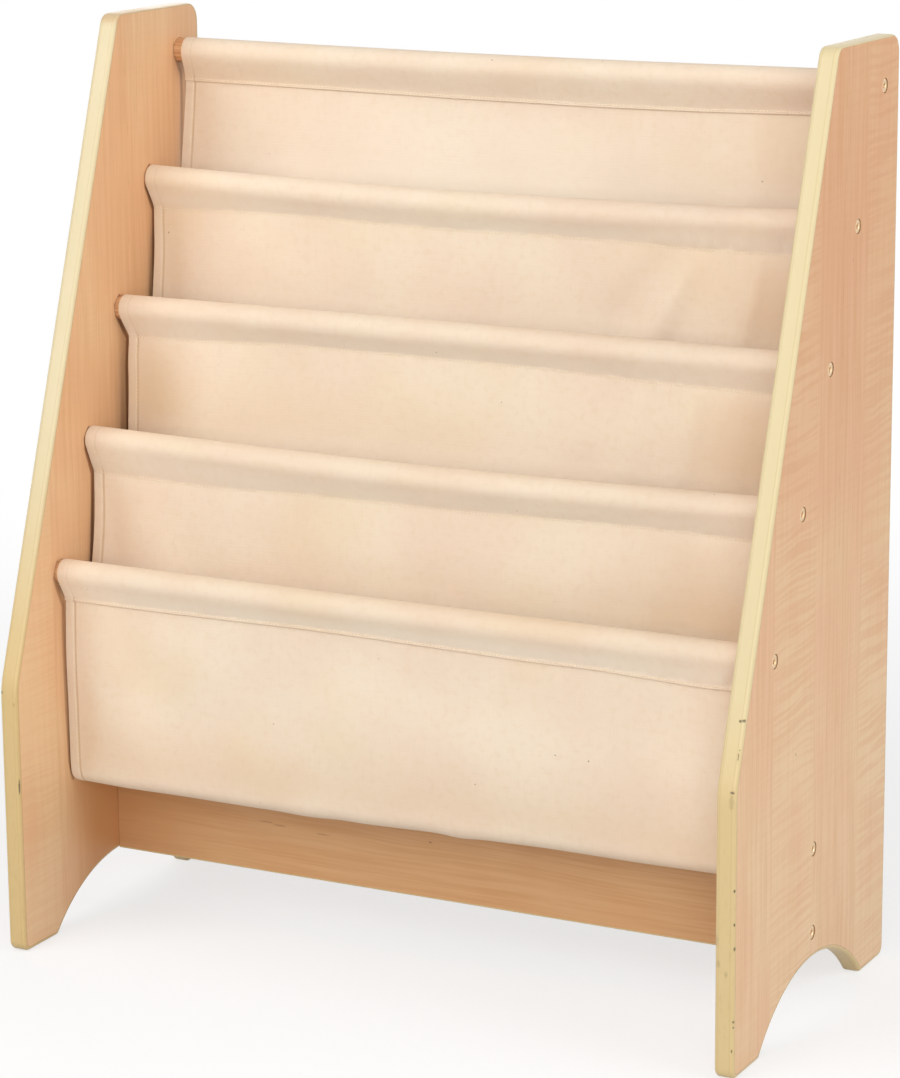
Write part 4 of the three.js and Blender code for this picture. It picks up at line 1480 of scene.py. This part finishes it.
def canvas_stitches(route, points, normals, half):
    """Stitches along the five seams and both side hems, on both faces of the cloth."""
    shell = Shell()
    for number in ROD_NUMBERS:
        hem, front, back = [route.middle_row(kind, number) for kind in SEWN_KINDS]
        for row, toward in ((front if hem is None else hem, -1), (front if back is None else back, 1)):
            facing = np.sign(normals[row, :, 1].mean()) * toward
            face = points[row] + normals[row] * (half[row] * facing)[:, None]
            line_of_stitches(shell, face[1:-1], (normals[row] * facing)[1:-1])
    sleeve = np.isin(route.kinds, SLEEVE_KINDS)
    ends = np.flatnonzero(np.diff(np.concatenate([[True], sleeve, [True]])))
    for stitched in (HEM_STITCH, CANVAS_WIDTH - HEM_STITCH):
        column = np.argmin(abs(cloth_columns() - stitched))
        for facing in (-1, 1):
            face = points[:, column] + normals[:, column] * (half[:, column] * facing)[:, None]
            for start, end in zip(ends[::2], ends[1::2]):
                line_of_stitches(shell, face[start:end], normals[start:end, column] * facing)
    return shell.build("canvas_stitches", [SEWING_THREAD], sharp=80)


sling_route, *sling_grids = sling_surface()
sling_points, sling_normals, sling_half, sling_flat, _ = sling_grids
cloth = canvas_cloth(seam_places(sling_route, sling_flat))
sling = canvas_mesh("canvas_sling", cloth, *sling_grids)
canvas_nodes = [f"canvas_sleeve_{number}" for number in ROD_NUMBERS]
canvas_nodes += [f"canvas_pocket_{number}" for number in ROD_NUMBERS[:-1]]
finish_piece(sling, "canvas", *canvas_nodes)
stitches = canvas_stitches(sling_route, sling_points, sling_normals, sling_half)
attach(stitches, BODY)


# Floor, light and camera


def seen_share(shader):
    """1 for what the camera sees, also in gloss or through glass, and 0 for light on other things."""
    camera_ray = shader.node("ShaderNodeLightPath", {}, "Is Camera Ray")
    seen = camera_ray + camera_ray.beside("Is Glossy Ray") + camera_ray.beside("Is Transmission Ray")
    return shader.math("MINIMUM", seen, 1.0)


def floor():
    """White floor that keeps the shelf's shadow and turns into a plain white ground further off."""
    shader = named_shader("white_floor")
    x, y, _ = shader.position()
    far = shader.ramp(shader.math("SQRT", x * x + y * y), 500.0, 1700.0, 0.66, 1.0)
    seen = seen_share(shader)
    paint = shader.mix(seen, (0.64, 0.64, 0.64, 1.0), (0.98, 0.98, 0.98, 1.0))
    lit = shader.node("ShaderNodeBsdfDiffuse", {"Color": paint})
    white = shader.node("ShaderNodeEmission", {"Color": (1.0, 1.0, 1.0, 1.0), "Strength": 1.0})
    ground = shader.node("ShaderNodeMixShader", {0: seen * far, 1: lit, 2: white})
    shader.node("ShaderNodeOutputMaterial", {"Surface": ground})
    mesh = bpy.data.meshes.new("studio_floor")
    ways = ((-1, -1), (1, -1), (1, 1), (-1, 1))
    corners = [(right * FLOOR_REACH, back * FLOOR_REACH, 0.0) for right, back in ways]
    mesh.from_pydata(corners, [], [(0, 1, 2, 3)])
    mesh.materials.append(shader.owner)
    add_object("studio_floor", mesh)


def world():
    """Even white surroundings, full white to the eye."""
    bpy.context.scene.world = bpy.data.worlds.new("studio")
    shader = Shader(bpy.context.scene.world)
    strength = seen_share(shader) * (1.0 - WORLD_LEVEL) + WORLD_LEVEL
    sky = shader.node("ShaderNodeBackground", {"Color": (1.0, 1.0, 1.0, 1.0), "Strength": strength})
    shader.node("ShaderNodeOutputWorld", {"Surface": sky})


def softbox(name, turn, rise, distance, power):
    """A square lamp that looks at the shelf's middle, from a turn to the right and a rise in degrees."""
    turn, rise = math.radians(turn), math.radians(rise)
    level = Vector((math.sin(turn), -math.cos(turn), 0.0)) * math.cos(rise)
    place = SHELF_MIDDLE + distance * (level + Vector((0, 0, math.sin(rise))))
    lamp = bpy.data.lights.new(name, "AREA")
    lamp.shape = "SQUARE"
    lamp.size = SOFTBOX_SIZE
    lamp.energy = power
    obj = add_object(name, lamp)
    obj.location = place
    obj.rotation_mode = "QUATERNION"
    obj.rotation_quaternion = (SHELF_MIDDLE - place).to_track_quat("-Z", "Y")


def camera():
    """The photograph's viewpoint, solved from the shelf's edges and screws."""
    yaw, pitch, roll = [math.radians(angle) for angle in CAMERA_TURN]
    ahead = Vector((-math.sin(yaw) * math.cos(pitch), math.cos(yaw) * math.cos(pitch), math.sin(pitch)))
    level_right = Vector((math.cos(yaw), math.sin(yaw), 0.0))
    level_up = level_right.cross(ahead)
    right = level_right * math.cos(roll) + level_up * math.sin(roll)
    up = level_up * math.cos(roll) - level_right * math.sin(roll)
    data = bpy.data.cameras.new("photo_camera")
    data.sensor_width = SENSOR
    data.lens = SENSOR * FOCAL_PIXELS / FRAME_HEIGHT
    data.shift_x = (FRAME_WIDTH / 2 - AIM_ACROSS) / FRAME_HEIGHT
    data.shift_y = (AIM_DOWN - FRAME_HEIGHT / 2) / FRAME_HEIGHT
    data.clip_end = 100.0
    obj = add_object("photo_camera", data)
    turned = Matrix((right, up, -ahead)).transposed().to_4x4()
    obj.matrix_world = Matrix.Translation(CAMERA_PLACE) @ turned
    bpy.context.scene.camera = obj


WORLD_LEVEL = 0.222
FLOOR_REACH = 15.0
SHELF_MIDDLE = Vector((0.0, 0.0, 0.36))
SOFTBOX_SIZE = 1.8

# The photograph's size and the pixel that the camera aims at, a little off its middle
FRAME_WIDTH, FRAME_HEIGHT = 900.0, 1078.0
AIM_ACROSS, AIM_DOWN = 412.08, 525.86
FOCAL_PIXELS = 3770.96
SENSOR = 36.0
CAMERA_PLACE = Vector((1.28943, -2.47235, 1.02070))
CAMERA_TURN = (27.981, -13.661, -0.630)  # to the left, upwards and about its own axis, in degrees

floor()
world()
softbox("key_softbox", turn=-30, rise=34, distance=2.5, power=31.2)
softbox("front_softbox", turn=28, rise=14, distance=3.3, power=38.6)
softbox("side_softbox", turn=90, rise=27, distance=2.7, power=30.6)
softbox("top_softbox", turn=0, rise=80, distance=2.5, power=7.8)
softbox("back_softbox", turn=-145, rise=13, distance=2.8, power=14.0)
camera()
bpy.context.scene.view_settings.view_transform = "Standard"
